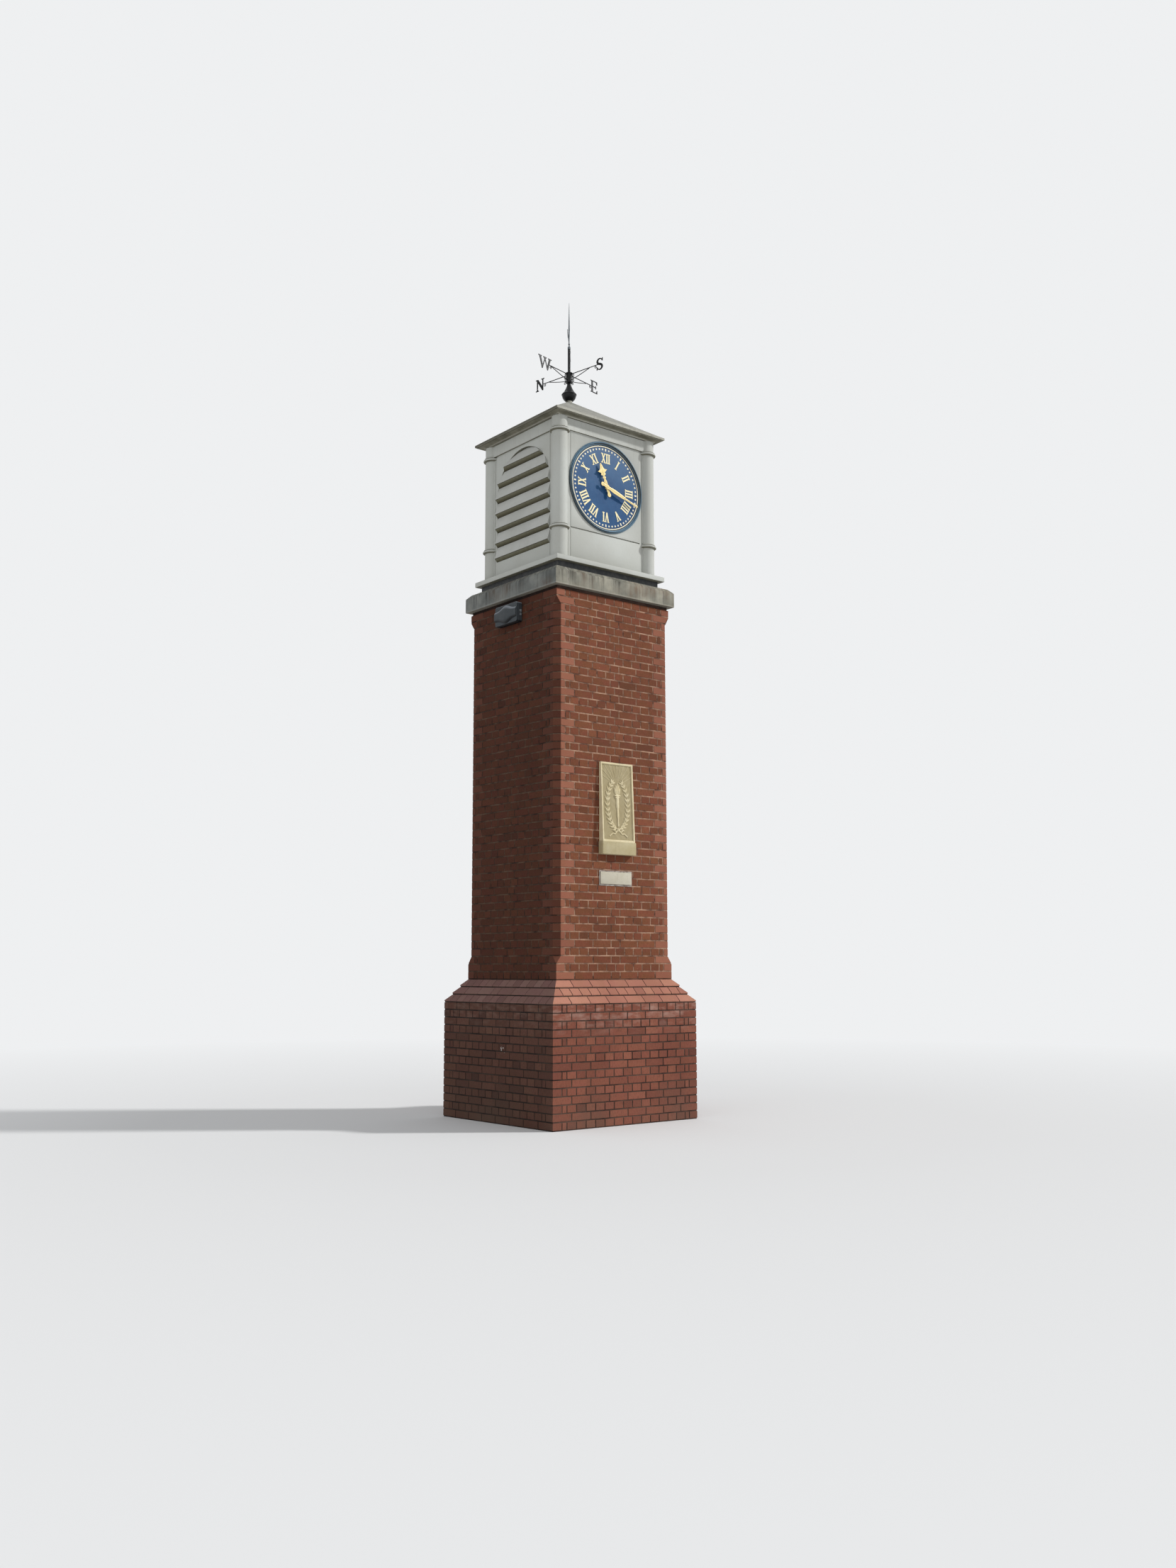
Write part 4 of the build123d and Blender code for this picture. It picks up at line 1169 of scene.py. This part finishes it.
def make_bezel(side, quarters):
    """The ring round the dial: a black inner edge painted as shade, a deep hollow, a bead, a step and an
    outer bead.
    """
    plane = PANEL_PLANE
    inner_edge = [(0.4372, plane - 0.003), (0.4372, plane + 0.0015), (0.4388, plane + 0.0030),
                  (0.4408, plane + 0.0030)]
    hollow = []
    for n in range(9):
        t = math.pi / 2 * n / 8
        hollow.append((0.4412 + 0.0135 * math.sin(t), plane + 0.0035 + 0.0150 * (1 - math.cos(t))))
    loop = inner_edge + hollow + bow(0.4590, plane + 0.0180, 0.0036, 175, 5, 8)
    loop += [(0.4632, plane + 0.0140), (0.4652, plane + 0.0105)]
    loop += bow(0.4690, plane + 0.0085, 0.0046, 165, 0, 7)
    loop += [(0.4738, plane + 0.0040), (0.4738, plane - 0.002)]
    heap = Heap()
    heap.face(turned_ring(loop))
    heap.turn(quarters, DIAL_Z)
    # The inner edge gets the black: painted shade.
    heap.slots = [1 if n % len(loop) < len(inner_edge) else 0 for n in range(len(heap.faces))]
    heap.make(f"{side}_bezel_ring", ["bezel_paint", "black_paint_and_gap_shade"], 35, [f"{side}_bezel"])


def hand_blade(shape, back, edge, ridge):
    """A hand from (half width, height) pairs going up, with a ridge along its middle."""
    rings = []
    for half, z in shape:
        rings.append([(-half, -back, z), (-half, -back - edge, z), (0.0, -back - ridge, z),
                      (half, -back - edge, z), (half, -back, z)])
    return loft(rings)


HOUR_SHAPE = [(0.0180, -0.084), (0.0150, -0.062), (0.0135, -0.045), (0.0160, -0.022), (0.0180, 0.000),
              (0.0185, 0.030), (0.0195, 0.055), (0.0120, 0.082), (0.0125, 0.092), (0.0250, 0.101),
              (0.0125, 0.110), (0.0115, 0.122), (0.0340, 0.133), (0.0260, 0.143), (0.0275, 0.152),
              (0.0450, 0.162), (0.0640, 0.175), (0.0420, 0.181), (0.0285, 0.190), (0.0215, 0.205),
              (0.0140, 0.228), (0.0072, 0.2485), (0.0045, 0.250)]
MINUTE_SHAPE = [(0.0170, -0.070), (0.0140, -0.052), (0.0130, -0.040), (0.0165, -0.020), (0.0185, 0.000),
                (0.0165, 0.025), (0.0150, 0.045), (0.0195, 0.062), (0.0218, 0.095), (0.0208, 0.130),
                (0.0185, 0.180), (0.0155, 0.225), (0.0108, 0.245), (0.0098, 0.270), (0.0092, 0.414),
                (0.0080, 0.418)]


def make_hand(side, quarters, hand, shape, back, angle, tail_z, tail_radius, boss, lift, arbor):
    """A gilt hand with a ridge, a round tail, a boss and its arbor, black on its back."""
    heap = Heap()
    heap.add(*hand_blade(shape, back, 0.0016, 0.0036))
    points, faces = hand_blade([(0.0019, z) for _, z in shape], back + 0.003, 0.0002, 0.0010)
    heap.add(points, faces, slot=1)
    tail = [(0, 0), (tail_radius, 0), (tail_radius, 0.0014), (tail_radius - 0.0014, 0.0026), (0.006, 0.0032),
            (0, 0.0034)]
    heap.face(turned(tail, 40), -back, tail_z)
    middle = [(0, 0), (boss, 0), (boss, 0.0018), (boss - 0.0018, 0.0030), (0.009, 0.0034), (0.007, lift),
              (0, lift)]
    heap.face(turned(middle, 40), -back)
    depth = DIAL_FACE - back
    heap.face(turned([(0, depth), (arbor, depth), (arbor, 0.001), (0, 0.001)], 32), -back)
    for n, face in enumerate(heap.faces):
        if all(-heap.points[i][1] < back + 0.00005 for i in face):
            heap.slots[n] = 2
    heap.points = clockwise(heap.points, math.radians(angle))
    heap.turn(quarters, DIAL_Z)
    heap.make(f"{side}_{hand}_gilt_hand", ["gilt", "gilt_shade", "black_paint_and_gap_shade"], 28,
              [f"{side}_{hand}_hand"], f"{side}_{hand}_hand")


def make_clock(side, quarters):
    """One clock, at eighteen minutes past eleven."""
    make_dial(side, quarters)
    make_margin(side, quarters)
    make_minute_marks(side, quarters)
    make_numerals(side, quarters)
    make_bezel(side, quarters)
    back = DIAL_FACE + 0.024
    make_hand(side, quarters, "hour", HOUR_SHAPE, back, 339, tail_z=-0.080, tail_radius=0.0225, boss=0.027,
              lift=0.0042, arbor=0.012)
    make_hand(side, quarters, "minute", MINUTE_SHAPE, back + 0.009, 108, tail_z=-0.067, tail_radius=0.0215,
              boss=0.0235, lift=0.0060, arbor=0.008)


# Finial, compass and vane


def make_finial():
    """Onion foot, spool and mast, turned smooth."""
    low, high = box("finial_urn")
    rim = low.z + 0.36 * (high.z - low.z)
    profile = [(0, low.z), (0.038, low.z), (0.041, low.z + 0.003)]
    for n in range(1, 9):
        t = n / 8
        radius = 0.041 + 0.0335 * math.sin(t * math.pi / 2)
        profile.append((radius, low.z + 0.003 + (rim - low.z - 0.010) * t ** 1.25))
    profile += [(0.0785, rim - 0.006), (0.0795, rim - 0.003), (0.0795, rim + 0.001), (0.0765, rim + 0.005)]
    for n in range(1, 13):
        t = n / 12
        profile.append((0.0195 + 0.0545 * (1 - t) ** 1.75, rim + 0.005 + (high.z - rim - 0.005) * t))
    profile += [(0, high.z)]
    make_turned("finial_onion", "finial_urn", "black_iron", profile, 64, 50)

    low, high = box("compass_hub")
    profile = [(0, low.z), (0.037, low.z)] + bow(0.0365, low.z + 0.007, 0.0035, -60, 60, 4)
    profile += [(0.0345, low.z + 0.015), (0.0335, low.z + 0.019), (0.0335, high.z - 0.019),
                (0.0345, high.z - 0.015)] + bow(0.0365, high.z - 0.007, 0.0035, -60, 60, 4)
    profile += [(0.037, high.z), (0, high.z)]
    make_turned("compass_spool", "compass_hub", "black_iron", profile, 48)

    low, high = box("vane_mast")
    radius, pivot, shoulder = high.x, 0.006, high.z - 0.020
    profile = [(0, low.z), (radius, low.z), (radius, shoulder - 0.001), (radius - 0.001, shoulder),
               (pivot, shoulder), (pivot, high.z - 0.001), (0, high.z)]
    make_turned("mast_tube", "vane_mast", "black_iron", profile, 40)


def scroll_path(x, z, radius, turns, start, hand):
    """A spiral in X and Z that starts at its outer end and winds inwards to a quarter of its radius."""
    steps = int(18 * turns)
    path = []
    for n in range(steps + 1):
        t = n / steps
        angle = math.radians(start) + hand * math.tau * turns * t
        r = radius * (1 - 0.75 * t)
        path.append((x + r * math.cos(angle), 0.0, z + r * math.sin(angle)))
    return path


LETTER_TOP = 0.0775
LETTER_SHARE = 134 / 155
LETTER_E = [(-0.055, -LETTER_TOP), (0.055, -LETTER_TOP), (0.055, -0.036), (0.046, -0.036), (0.036, -0.066),
            (-0.018, -0.066), (-0.018, -0.006), (0.022, -0.006), (0.025, -0.020), (0.034, -0.020),
            (0.034, 0.020), (0.025, 0.020), (0.022, 0.006), (-0.018, 0.006), (-0.018, 0.066),
            (0.034, 0.066), (0.044, 0.036), (0.053, 0.036), (0.053, LETTER_TOP), (-0.055, LETTER_TOP),
            (-0.055, 0.067), (-0.042, 0.065), (-0.042, -0.065), (-0.055, -0.067)]
LETTER_N = [(-0.060, -LETTER_TOP), (-0.018, -LETTER_TOP), (-0.018, -0.067), (-0.030, -0.065), (-0.030, 0.034),
            (0.031, -LETTER_TOP), (0.046, -LETTER_TOP), (0.046, 0.065), (0.060, 0.067), (0.060, LETTER_TOP),
            (0.018, LETTER_TOP), (0.018, 0.067), (0.032, 0.065), (0.032, -0.022), (-0.026, LETTER_TOP),
            (-0.060, LETTER_TOP), (-0.060, 0.067), (-0.045, 0.063), (-0.045, -0.065), (-0.060, -0.067)]


def mirrored(outline):
    """An outline's mirror image in X, run backwards."""
    return [(-x, z) for x, z in outline][::-1]


def letter_w():
    """Outline of the W, from its left half."""
    upper = [(-0.102, LETTER_TOP), (-0.050, LETTER_TOP), (-0.050, 0.067), (-0.062, 0.065), (-0.034, -0.034),
             (-0.010, 0.048), (-0.014, 0.065), (-0.026, 0.067), (-0.026, LETTER_TOP)]
    lower = [(-0.005, 0.030), (-0.036, -LETTER_TOP), (-0.046, -LETTER_TOP), (-0.088, 0.065), (-0.102, 0.067)]
    return upper + [(0.0, LETTER_TOP)] + mirrored(upper) + mirrored(lower) + [(0.0, 0.024)] + lower


def letters_s():
    """Outlines of the S: a swelling band along its spine, and a barb at each end."""
    spine = []
    for n in range(33):
        angle = math.radians(35 + 235 * n / 32)
        spine.append((0.031 * math.cos(angle), 0.0355 + 0.033 * math.sin(angle)))
    path = spine + [(-x, -z) for x, z in spine[::-1]][1:]
    last = len(path) - 1
    left, right = [], []
    for n, (x, z) in enumerate(path):
        ax, az = path[max(n - 1, 0)]
        bx, bz = path[min(n + 1, last)]
        length = math.hypot(bx - ax, bz - az)
        half = 0.0055 + 0.0080 * math.sin(math.pi * n / last) ** 1.5
        nx, nz = -(bz - az) / length * half, (bx - ax) / length * half
        left.append((x + nx, z + nz))
        right.append((x - nx, z - nz))
    barb = [(0.0225, 0.040), (0.0385, 0.030), (0.0405, 0.072), (0.0325, 0.072)]
    return [left + right[::-1], barb, [(-x, -z) for x, z in barb]]


def make_compass():
    """Four arms, each with its brace, scrolls and letter."""
    hub_low, hub_high = box("compass_hub")
    middle = hub_high.z - 0.018
    foot = hub_low.z + 0.030
    turn = math.radians(11)
    root, brace_end = 0.030, 0.280
    arm_bar, brace_bar, scroll_bar = 0.0046, 0.0040, 0.0031
    plans = {"east": (0, [LETTER_E], 0.412, 0.040, 1), "north": (90, [LETTER_N], 0.412, 0.045, -1),
             "west": (180, [letter_w()], 0.384, 0.066, -1), "south": (270, letters_s(), 0.420, 0.030, 1)}
    for name, (bearing, outlines, radius, near, reads) in plans.items():
        heap = Heap()
        reach = radius - near + 0.006
        heap.add(*tube([(root, 0, middle), (reach, 0, middle)], arm_bar))
        brace = []
        for n in range(15):
            t = n / 14
            brace.append((root + (brace_end - root) * t, 0, foot + (middle - 0.004 - foot) * t ** 1.25))
        heap.add(*tube(brace, brace_bar))
        for scroll in ((0.0540, middle - 0.0205, 0.0165, 1.15, 100, -1),
                       (0.0540, foot - 0.0150, 0.0155, 1.10, -100, 1),
                       (reach - 0.028, middle - 0.0195, 0.0160, 1.25, 90, 1)):
            heap.add(*tube(scroll_path(*scroll), scroll_bar))
        for outline in outlines:
            points, faces = plate([(x, z * LETTER_SHARE) for x, z in outline], 0.007, 0.0008)
            points = [(reads * x, reads * y, z) for x, y, z in points]
            heap.add(moved(points, x=radius, z=middle), faces)
        angle = turn + math.radians(bearing)
        heap.points = spin(heap.points, math.cos(angle), math.sin(angle))
        heap.make(f"{name}_arm", ["black_iron"], 32, [f"compass_arm_{name}"])


def make_vane():
    """Spear, arrow and tail, on the body that turns."""
    soften("vane_spear", "vane_metal", 0.0, body="vane")
    soften("vane_arrow", "vane_metal", 0.0004, 1, "vane")
    soften("vane_tail", "vane_metal", 0.0004, 1, "vane")


# Fittings on the shaft


class Relief:
    """A grid of heights over a panel, to which shapes are raised; x is from its middle, z from its foot."""

    def __init__(self, low_x, high_x, height):
        columns, rows = 150, 280
        self.height = height
        self.u, self.v = np.meshgrid(np.linspace(low_x, high_x, columns), np.linspace(0.0, height, rows))
        self.heights = np.zeros(self.u.shape)

    def lift(self, inside, rise):
        np.maximum(self.heights, np.where(inside, rise, 0), out=self.heights)

    def bar(self, path, half, stand):
        """Raises a half-round bar along a path."""
        best = np.full(self.u.shape, 9.0)
        for (ax, az), (bx, bz) in zip(path, path[1:]):
            dx, dz = bx - ax, bz - az
            t = np.clip(((self.u - ax) * dx + (self.v - az) * dz) / (dx * dx + dz * dz), 0, 1)
            best = np.minimum(best, np.hypot(self.u - ax - t * dx, self.v - az - t * dz))
        d = best / half
        self.lift(d < 1, stand * np.sqrt(np.clip(1 - d * d, 0, 1)))

    def leaf(self, x, z, angle, length, half, stand):
        """Raises a pointed leaf with a sunk midrib."""
        along = (self.u - x) * math.cos(angle) + (self.v - z) * math.sin(angle)
        across = -(self.u - x) * math.sin(angle) + (self.v - z) * math.cos(angle)
        t = np.clip(along / length, 0, 1)
        width = half * np.sin(math.pi * t ** 0.8) + 1e-6
        rise = stand * (1 - (across / width) ** 2) * (0.55 + 0.45 * np.sin(math.pi * t))
        rise -= stand * 0.35 * np.exp(-(across / (half * 0.14)) ** 2)
        self.lift((along > 0) & (along < length) & (np.abs(across) < width), rise)


def carve_wreath(relief, side):
    """One laurel branch of the wreath: a stem and its leaves in threes."""
    branch = []
    for n in range(25):
        angle = -math.pi / 2 + side * (0.10 + 2.55 * n / 24)
        branch.append((0.128 * math.cos(angle), 0.47 * relief.height + 0.245 * math.sin(angle)))
    relief.bar(branch, 0.0042, 0.006)
    for n in range(1, 24, 2):
        (ax, az), (bx, bz) = branch[n - 1], branch[n + 1]
        along = math.atan2(bz - az, bx - ax)
        relief.leaf(*branch[n], along + 0.62, 0.058, 0.0115, 0.0100)
        relief.leaf(*branch[n], along - 0.62, 0.058, 0.0115, 0.0092)
        relief.leaf(*branch[n], along, 0.050, 0.0100, 0.0115)


def carve_torch(relief):
    """An upright torch with its flame, and rays behind it."""
    height = relief.height
    for n in range(-5, 6):
        angle = math.pi / 2 + n * 0.21
        relief.bar([(r * math.cos(angle), 0.70 * height + r * math.sin(angle)) for r in (0.085, 0.30)],
                   0.0032, 0.0035)
    for n in range(3):
        foot, head = 0.20 + 0.12 * n, 0.34 + 0.12 * n
        relief.bar([(0, foot * height), (0, head * height)], 0.010 + 0.0045 * n, 0.010 + 0.0012 * n)
    for half_width, level, half, stand in ((0.030, 0.585, 0.0085, 0.0145), (0.022, 0.562, 0.0070, 0.0135)):
        relief.bar([(-half_width, level * height), (half_width, level * height)], half, stand)
    for lean, tall in ((-0.34, 0.085), (0.34, 0.085), (-0.14, 0.112), (0.14, 0.112), (0.0, 0.135)):
        relief.leaf(lean * 0.03, 0.592 * height, math.pi / 2 - lean, tall, 0.017, 0.0145)


def carve_ribbon(relief):
    """A bow under the wreath with its two tails and its knot."""
    height = relief.height
    knot = (0.0, 0.150 * height)
    for side in (-1, 1):
        relief.bar([knot, (side * 0.035, 0.178 * height), (side * 0.060, 0.150 * height),
                    (side * 0.035, 0.126 * height), knot], 0.0060, 0.0095)
        relief.bar([knot, (side * 0.045, 0.100 * height), (side * 0.075, 0.105 * height),
                    (side * 0.110, 0.070 * height)], 0.0075, 0.0070)
    relief.bar([(0, 0.142 * height), (0, 0.160 * height)], 0.011, 0.013)


def carve_border(relief, half_width):
    """A stepped border round the panel."""
    u, v = relief.u, relief.v
    edge = np.minimum(np.minimum(u + half_width, half_width - u), np.minimum(v, relief.height - v))
    border = np.where(edge < 0.016, 0.011, np.where(edge < 0.021, 0.006, 0.0))
    relief.heights = np.maximum(relief.heights, border)


def make_relief():
    """A generic carving on a panel that leans out to its foot."""
    low, high = box("relief_panel")
    height = high.z - low.z
    foot_y, top_y = low.y, -SHAFT_HALF - 0.025
    relief = Relief(low.x, high.x, height)
    carve_torch(relief)
    for side in (-1, 1):
        carve_wreath(relief, side)
    carve_ribbon(relief)
    carve_border(relief, (high.x - low.x) / 2)
    u, v = relief.u, relief.v
    worn = 0.0007 * np.sin(u * 61 + 3 * np.sin(v * 17)) * np.sin(v * 47 + 2 * np.sin(u * 23))
    heights = relief.heights - 0.0105 + worn
    depths = foot_y + (top_y - foot_y) * v / height - heights
    points = list(zip(u.ravel(), depths.ravel(), (low.z + v).ravel()))

    rows, columns = heights.shape
    faces, tints = [], []
    for j in range(rows - 1):
        for i in range(columns - 1):
            a = j * columns + i
            faces.append((a, a + 1, a + columns + 1, a + columns))
            tints.append(float(heights[j:j + 2, i:i + 2].mean()))
    start = rows * columns
    border = [*range(columns), *range(2 * columns - 1, start, columns),
              *range(start - 2, start - columns - 1, -1), *range(start - 2 * columns, 0, -columns)]
    count = len(border)
    points += [(points[i][0], high.y, points[i][2]) for i in border]
    for n in range(count):
        m = (n + 1) % count
        faces.append((border[n], start + n, start + m, border[m]))
    faces.append(tuple(range(start, start + count)))
    deepest, highest = float(heights.min()), float(heights.max())
    heap = Heap()
    heap.add(points, faces)
    heap.tints = [(t - deepest) / (highest - deepest + 1e-9) for t in tints] + [1.0] * (count + 1)
    heap.make("carved_panel", ["carved_stone"], 50, ["relief_panel"])


def make_name_plate():
    """The bare plate in its ragged mortar border."""
    soften("name_plate", "plate_stone", 0.0025)
    low, high = box("name_plate")
    wall = -SHAFT_HALF
    border, lap = 0.013, 0.001
    bars = [((low.x - border, low.z - border - 0.004), (high.x + border, low.z + lap)),
            ((low.x - border, high.z - lap), (high.x + border, high.z + border)),
            ((low.x - border, low.z), (low.x + lap, high.z)),
            ((high.x - lap, low.z), (high.x + border, high.z))]
    heap = Heap()
    for (x0, z0), (x1, z1) in bars:
        heap.block((x0, wall - 0.0045, z0), (x1, wall + 0.002, z1), 0.0018, 0.002)
    heap.make("plate_pointing", ["plate_mortar"])


def rounded_box(low, high, radius, bevel):
    """A box along X with rounded corners and small end bevels."""
    steps = 6
    rings = []
    corners = ((high[1], high[2], 0), (low[1], high[2], 90), (low[1], low[2], 180), (high[1], low[2], 270))
    for x, inset in ((low[0], bevel), (low[0] + bevel, 0), (high[0] - bevel, 0), (high[0], bevel)):
        ring = []
        for cy, cz, start in corners:
            sy, sz = (1 if cy == high[1] else -1), (1 if cz == high[2] else -1)
            ring += [(x, y, z) for y, z in bow(cy - sy * radius, cz - sz * radius, radius - inset,
                                               start, start + 90, steps)]
        rings.append(ring)
    return loft(rings)


def make_light_box(low, high):
    """The back box with two slots at each end."""
    middle_y, middle_z = (low.y + high.y) / 2, (low.z + high.z) / 2
    half_y = (high.y - low.y) / 2
    heap = Heap()
    heap.add(*rounded_box(low, high, 0.018, 0.003))
    plate_stand, slot_stand = 0.0012, 0.0025
    slot_pitch, slot_height = 0.036, 0.028
    for end in (-1, 1):
        y = middle_y + end * half_y
        heap.block((low.x + 0.008, y - plate_stand, middle_z - 0.041),
                   (high.x - 0.004, y + plate_stand, middle_z + 0.032), 0.0006, slot=1)
        for n in (0, 1):
            z0 = middle_z - 0.037 + n * slot_pitch
            heap.block((low.x + 0.013, y - slot_stand, z0),
                       (high.x - 0.008, y + slot_stand, z0 + slot_height), 0.001, slot=2)
    heap.make("light_box", ["light_grey", "light_dark", "light_lens"], 35, ["wall_light_body"])


def make_light_cover(low, high):
    """The cover: a flat rim that swells into an eye-shaped front with faint rings."""
    middle_y, middle_z = (low.y + high.y) / 2, (low.z + high.z) / 2
    half_y, half_z = (high.y - low.y) / 2 - 0.004, (high.z - low.z) / 2
    rim = 0.020
    depth = low.x - box("wall_light_cover")[0].x
    edge_x = low.x - rim
    foot_x = edge_x + 0.004
    heap = Heap()
    heap.add(*rounded_box((edge_x, low.y, low.z), (low.x - 0.001, high.y, high.z), 0.018, 0.004))
    stations, rows = 60, 28
    sections = []
    for n in range(stations + 1):
        t = 2 * n / stations - 1
        y = t * half_y
        eye = half_z * (0.50 + 0.43 * math.exp(-((t + 0.02) / 0.46) ** 2))
        swell = (depth - rim) * (0.55 + 0.45 * math.exp(-(t / 0.75) ** 2))
        ring = [(foot_x, middle_y + y, middle_z - eye), (foot_x, middle_y + y, middle_z + eye)]
        for m in range(rows + 1):
            s = 1 - 2 * m / rows
            side = math.copysign(abs(s) ** 0.7, s)
            z = side * eye
            ripple = math.hypot(y - 0.02, z - 0.004)
            rise = swell * (1 - abs(side) ** 4) ** 0.7
            rise += 0.0016 * math.cos(ripple * 260) * math.exp(-(ripple / 0.022) ** 2) - 0.0016
            ring.append((max(edge_x - rise, low.x - depth), middle_y + y, middle_z + z))
        sections.append(ring)
    heap.add(*loft(sections))
    heap.make("light_cover", ["light_grey"], 35, ["wall_light_cover"])


# Stage


def make_floor():
    """A wide pale floor that keeps the tower's shadow and fades into the background."""
    size = 400.0
    fade_from, fade_to = 4.0, 16.0
    mesh = bpy.data.meshes.new("floor")
    corners = [(-size, -size, 0), (size, -size, 0), (size, size, 0), (-size, size, 0)]
    mesh.from_pydata(corners, [], [(0, 1, 2, 3)])
    floor = bpy.data.objects.new("floor", mesh)
    bpy.context.scene.collection.objects.link(floor)
    paint = Paint("floor", 0.95, gloss=0.5)
    paint.base = FLOOR
    paint.done()
    distance = paint.node("ShaderNodeVectorMath", paint.place, operation="LENGTH").outputs["Value"]
    glows = paint.times(paint.level(distance, fade_from, fade_to), paint.seen_directly())
    glow = paint.node("ShaderNodeEmission", BACKDROP)
    paint.mix_to_output(glows, paint.shader.outputs["BSDF"], glow.outputs["Emission"], "Material Output")
    mesh.materials.append(paint.material)


def make_world():
    """Even soft light all round, and a pale background for what looks past the tower or mirrors it."""
    world = bpy.data.worlds.new("studio")
    bpy.context.scene.world = world
    world.use_nodes = True
    studio = Nodes(world.node_tree)
    light = studio.tree.nodes["Background"]
    light.inputs["Color"].default_value = AMBIENT
    backdrop = studio.node("ShaderNodeBackground", BACKDROP)
    studio.mix_to_output(studio.seen_directly(), light.outputs[0], backdrop.outputs[0], "World Output")


def make_sun(name, bearing, elevation, strength, spread):
    """A lamp; its light comes from a bearing clockwise from +Y, and its disc is spread degrees wide."""
    lamp = bpy.data.lights.new(name, "SUN")
    lamp.energy = strength
    lamp.angle = math.radians(spread)
    lamp_object = bpy.data.objects.new(name, lamp)
    bearing, elevation = math.radians(bearing), math.radians(elevation)
    towards = Vector((math.sin(bearing) * math.cos(elevation), math.cos(bearing) * math.cos(elevation),
                      math.sin(elevation)))
    lamp_object.rotation_mode = "QUATERNION"
    lamp_object.rotation_quaternion = towards.to_track_quat("Z", "Y")
    bpy.context.scene.collection.objects.link(lamp_object)


def make_camera():
    """The photograph's viewpoint."""
    ahead = Vector((math.sin(YAW) * math.cos(PITCH), math.cos(YAW) * math.cos(PITCH), math.sin(PITCH)))
    right = Vector((math.cos(YAW), -math.sin(YAW), 0))
    up = right.cross(ahead)
    right, up = (right * math.cos(ROLL) + up * math.sin(ROLL), up * math.cos(ROLL) - right * math.sin(ROLL))
    camera = bpy.data.cameras.new("camera")
    camera.sensor_width = SENSOR
    camera.lens = FOCAL_PIXELS / FRAME_HEIGHT_PIXELS * SENSOR
    camera.clip_end = 1000
    camera_object = bpy.data.objects.new("camera", camera)
    turn = Matrix((right, up, -ahead)).transposed().to_4x4()
    camera_object.matrix_world = Matrix.Translation(EYE) @ turn
    bpy.context.scene.collection.objects.link(camera_object)
    bpy.context.scene.camera = camera_object


mix_paints()
make_plinth()
make_slope()
make_shaft()
make_coping()
make_turret()
make_clock("front", 0)
make_clock("back", 2)
make_finial()
make_compass()
make_vane()
make_relief()
soften("relief_block", "block_stone", 0.005, 3)
make_name_plate()
make_light_box(*box("wall_light_body"))
make_light_cover(*box("wall_light_body"))

make_floor()
make_world()
make_sun("key", 127, 34, 2.5, 4.5)
make_sun("fill", 240, 38, 0.32, 80)
make_camera()
bpy.context.scene.view_settings.view_transform = "Standard"
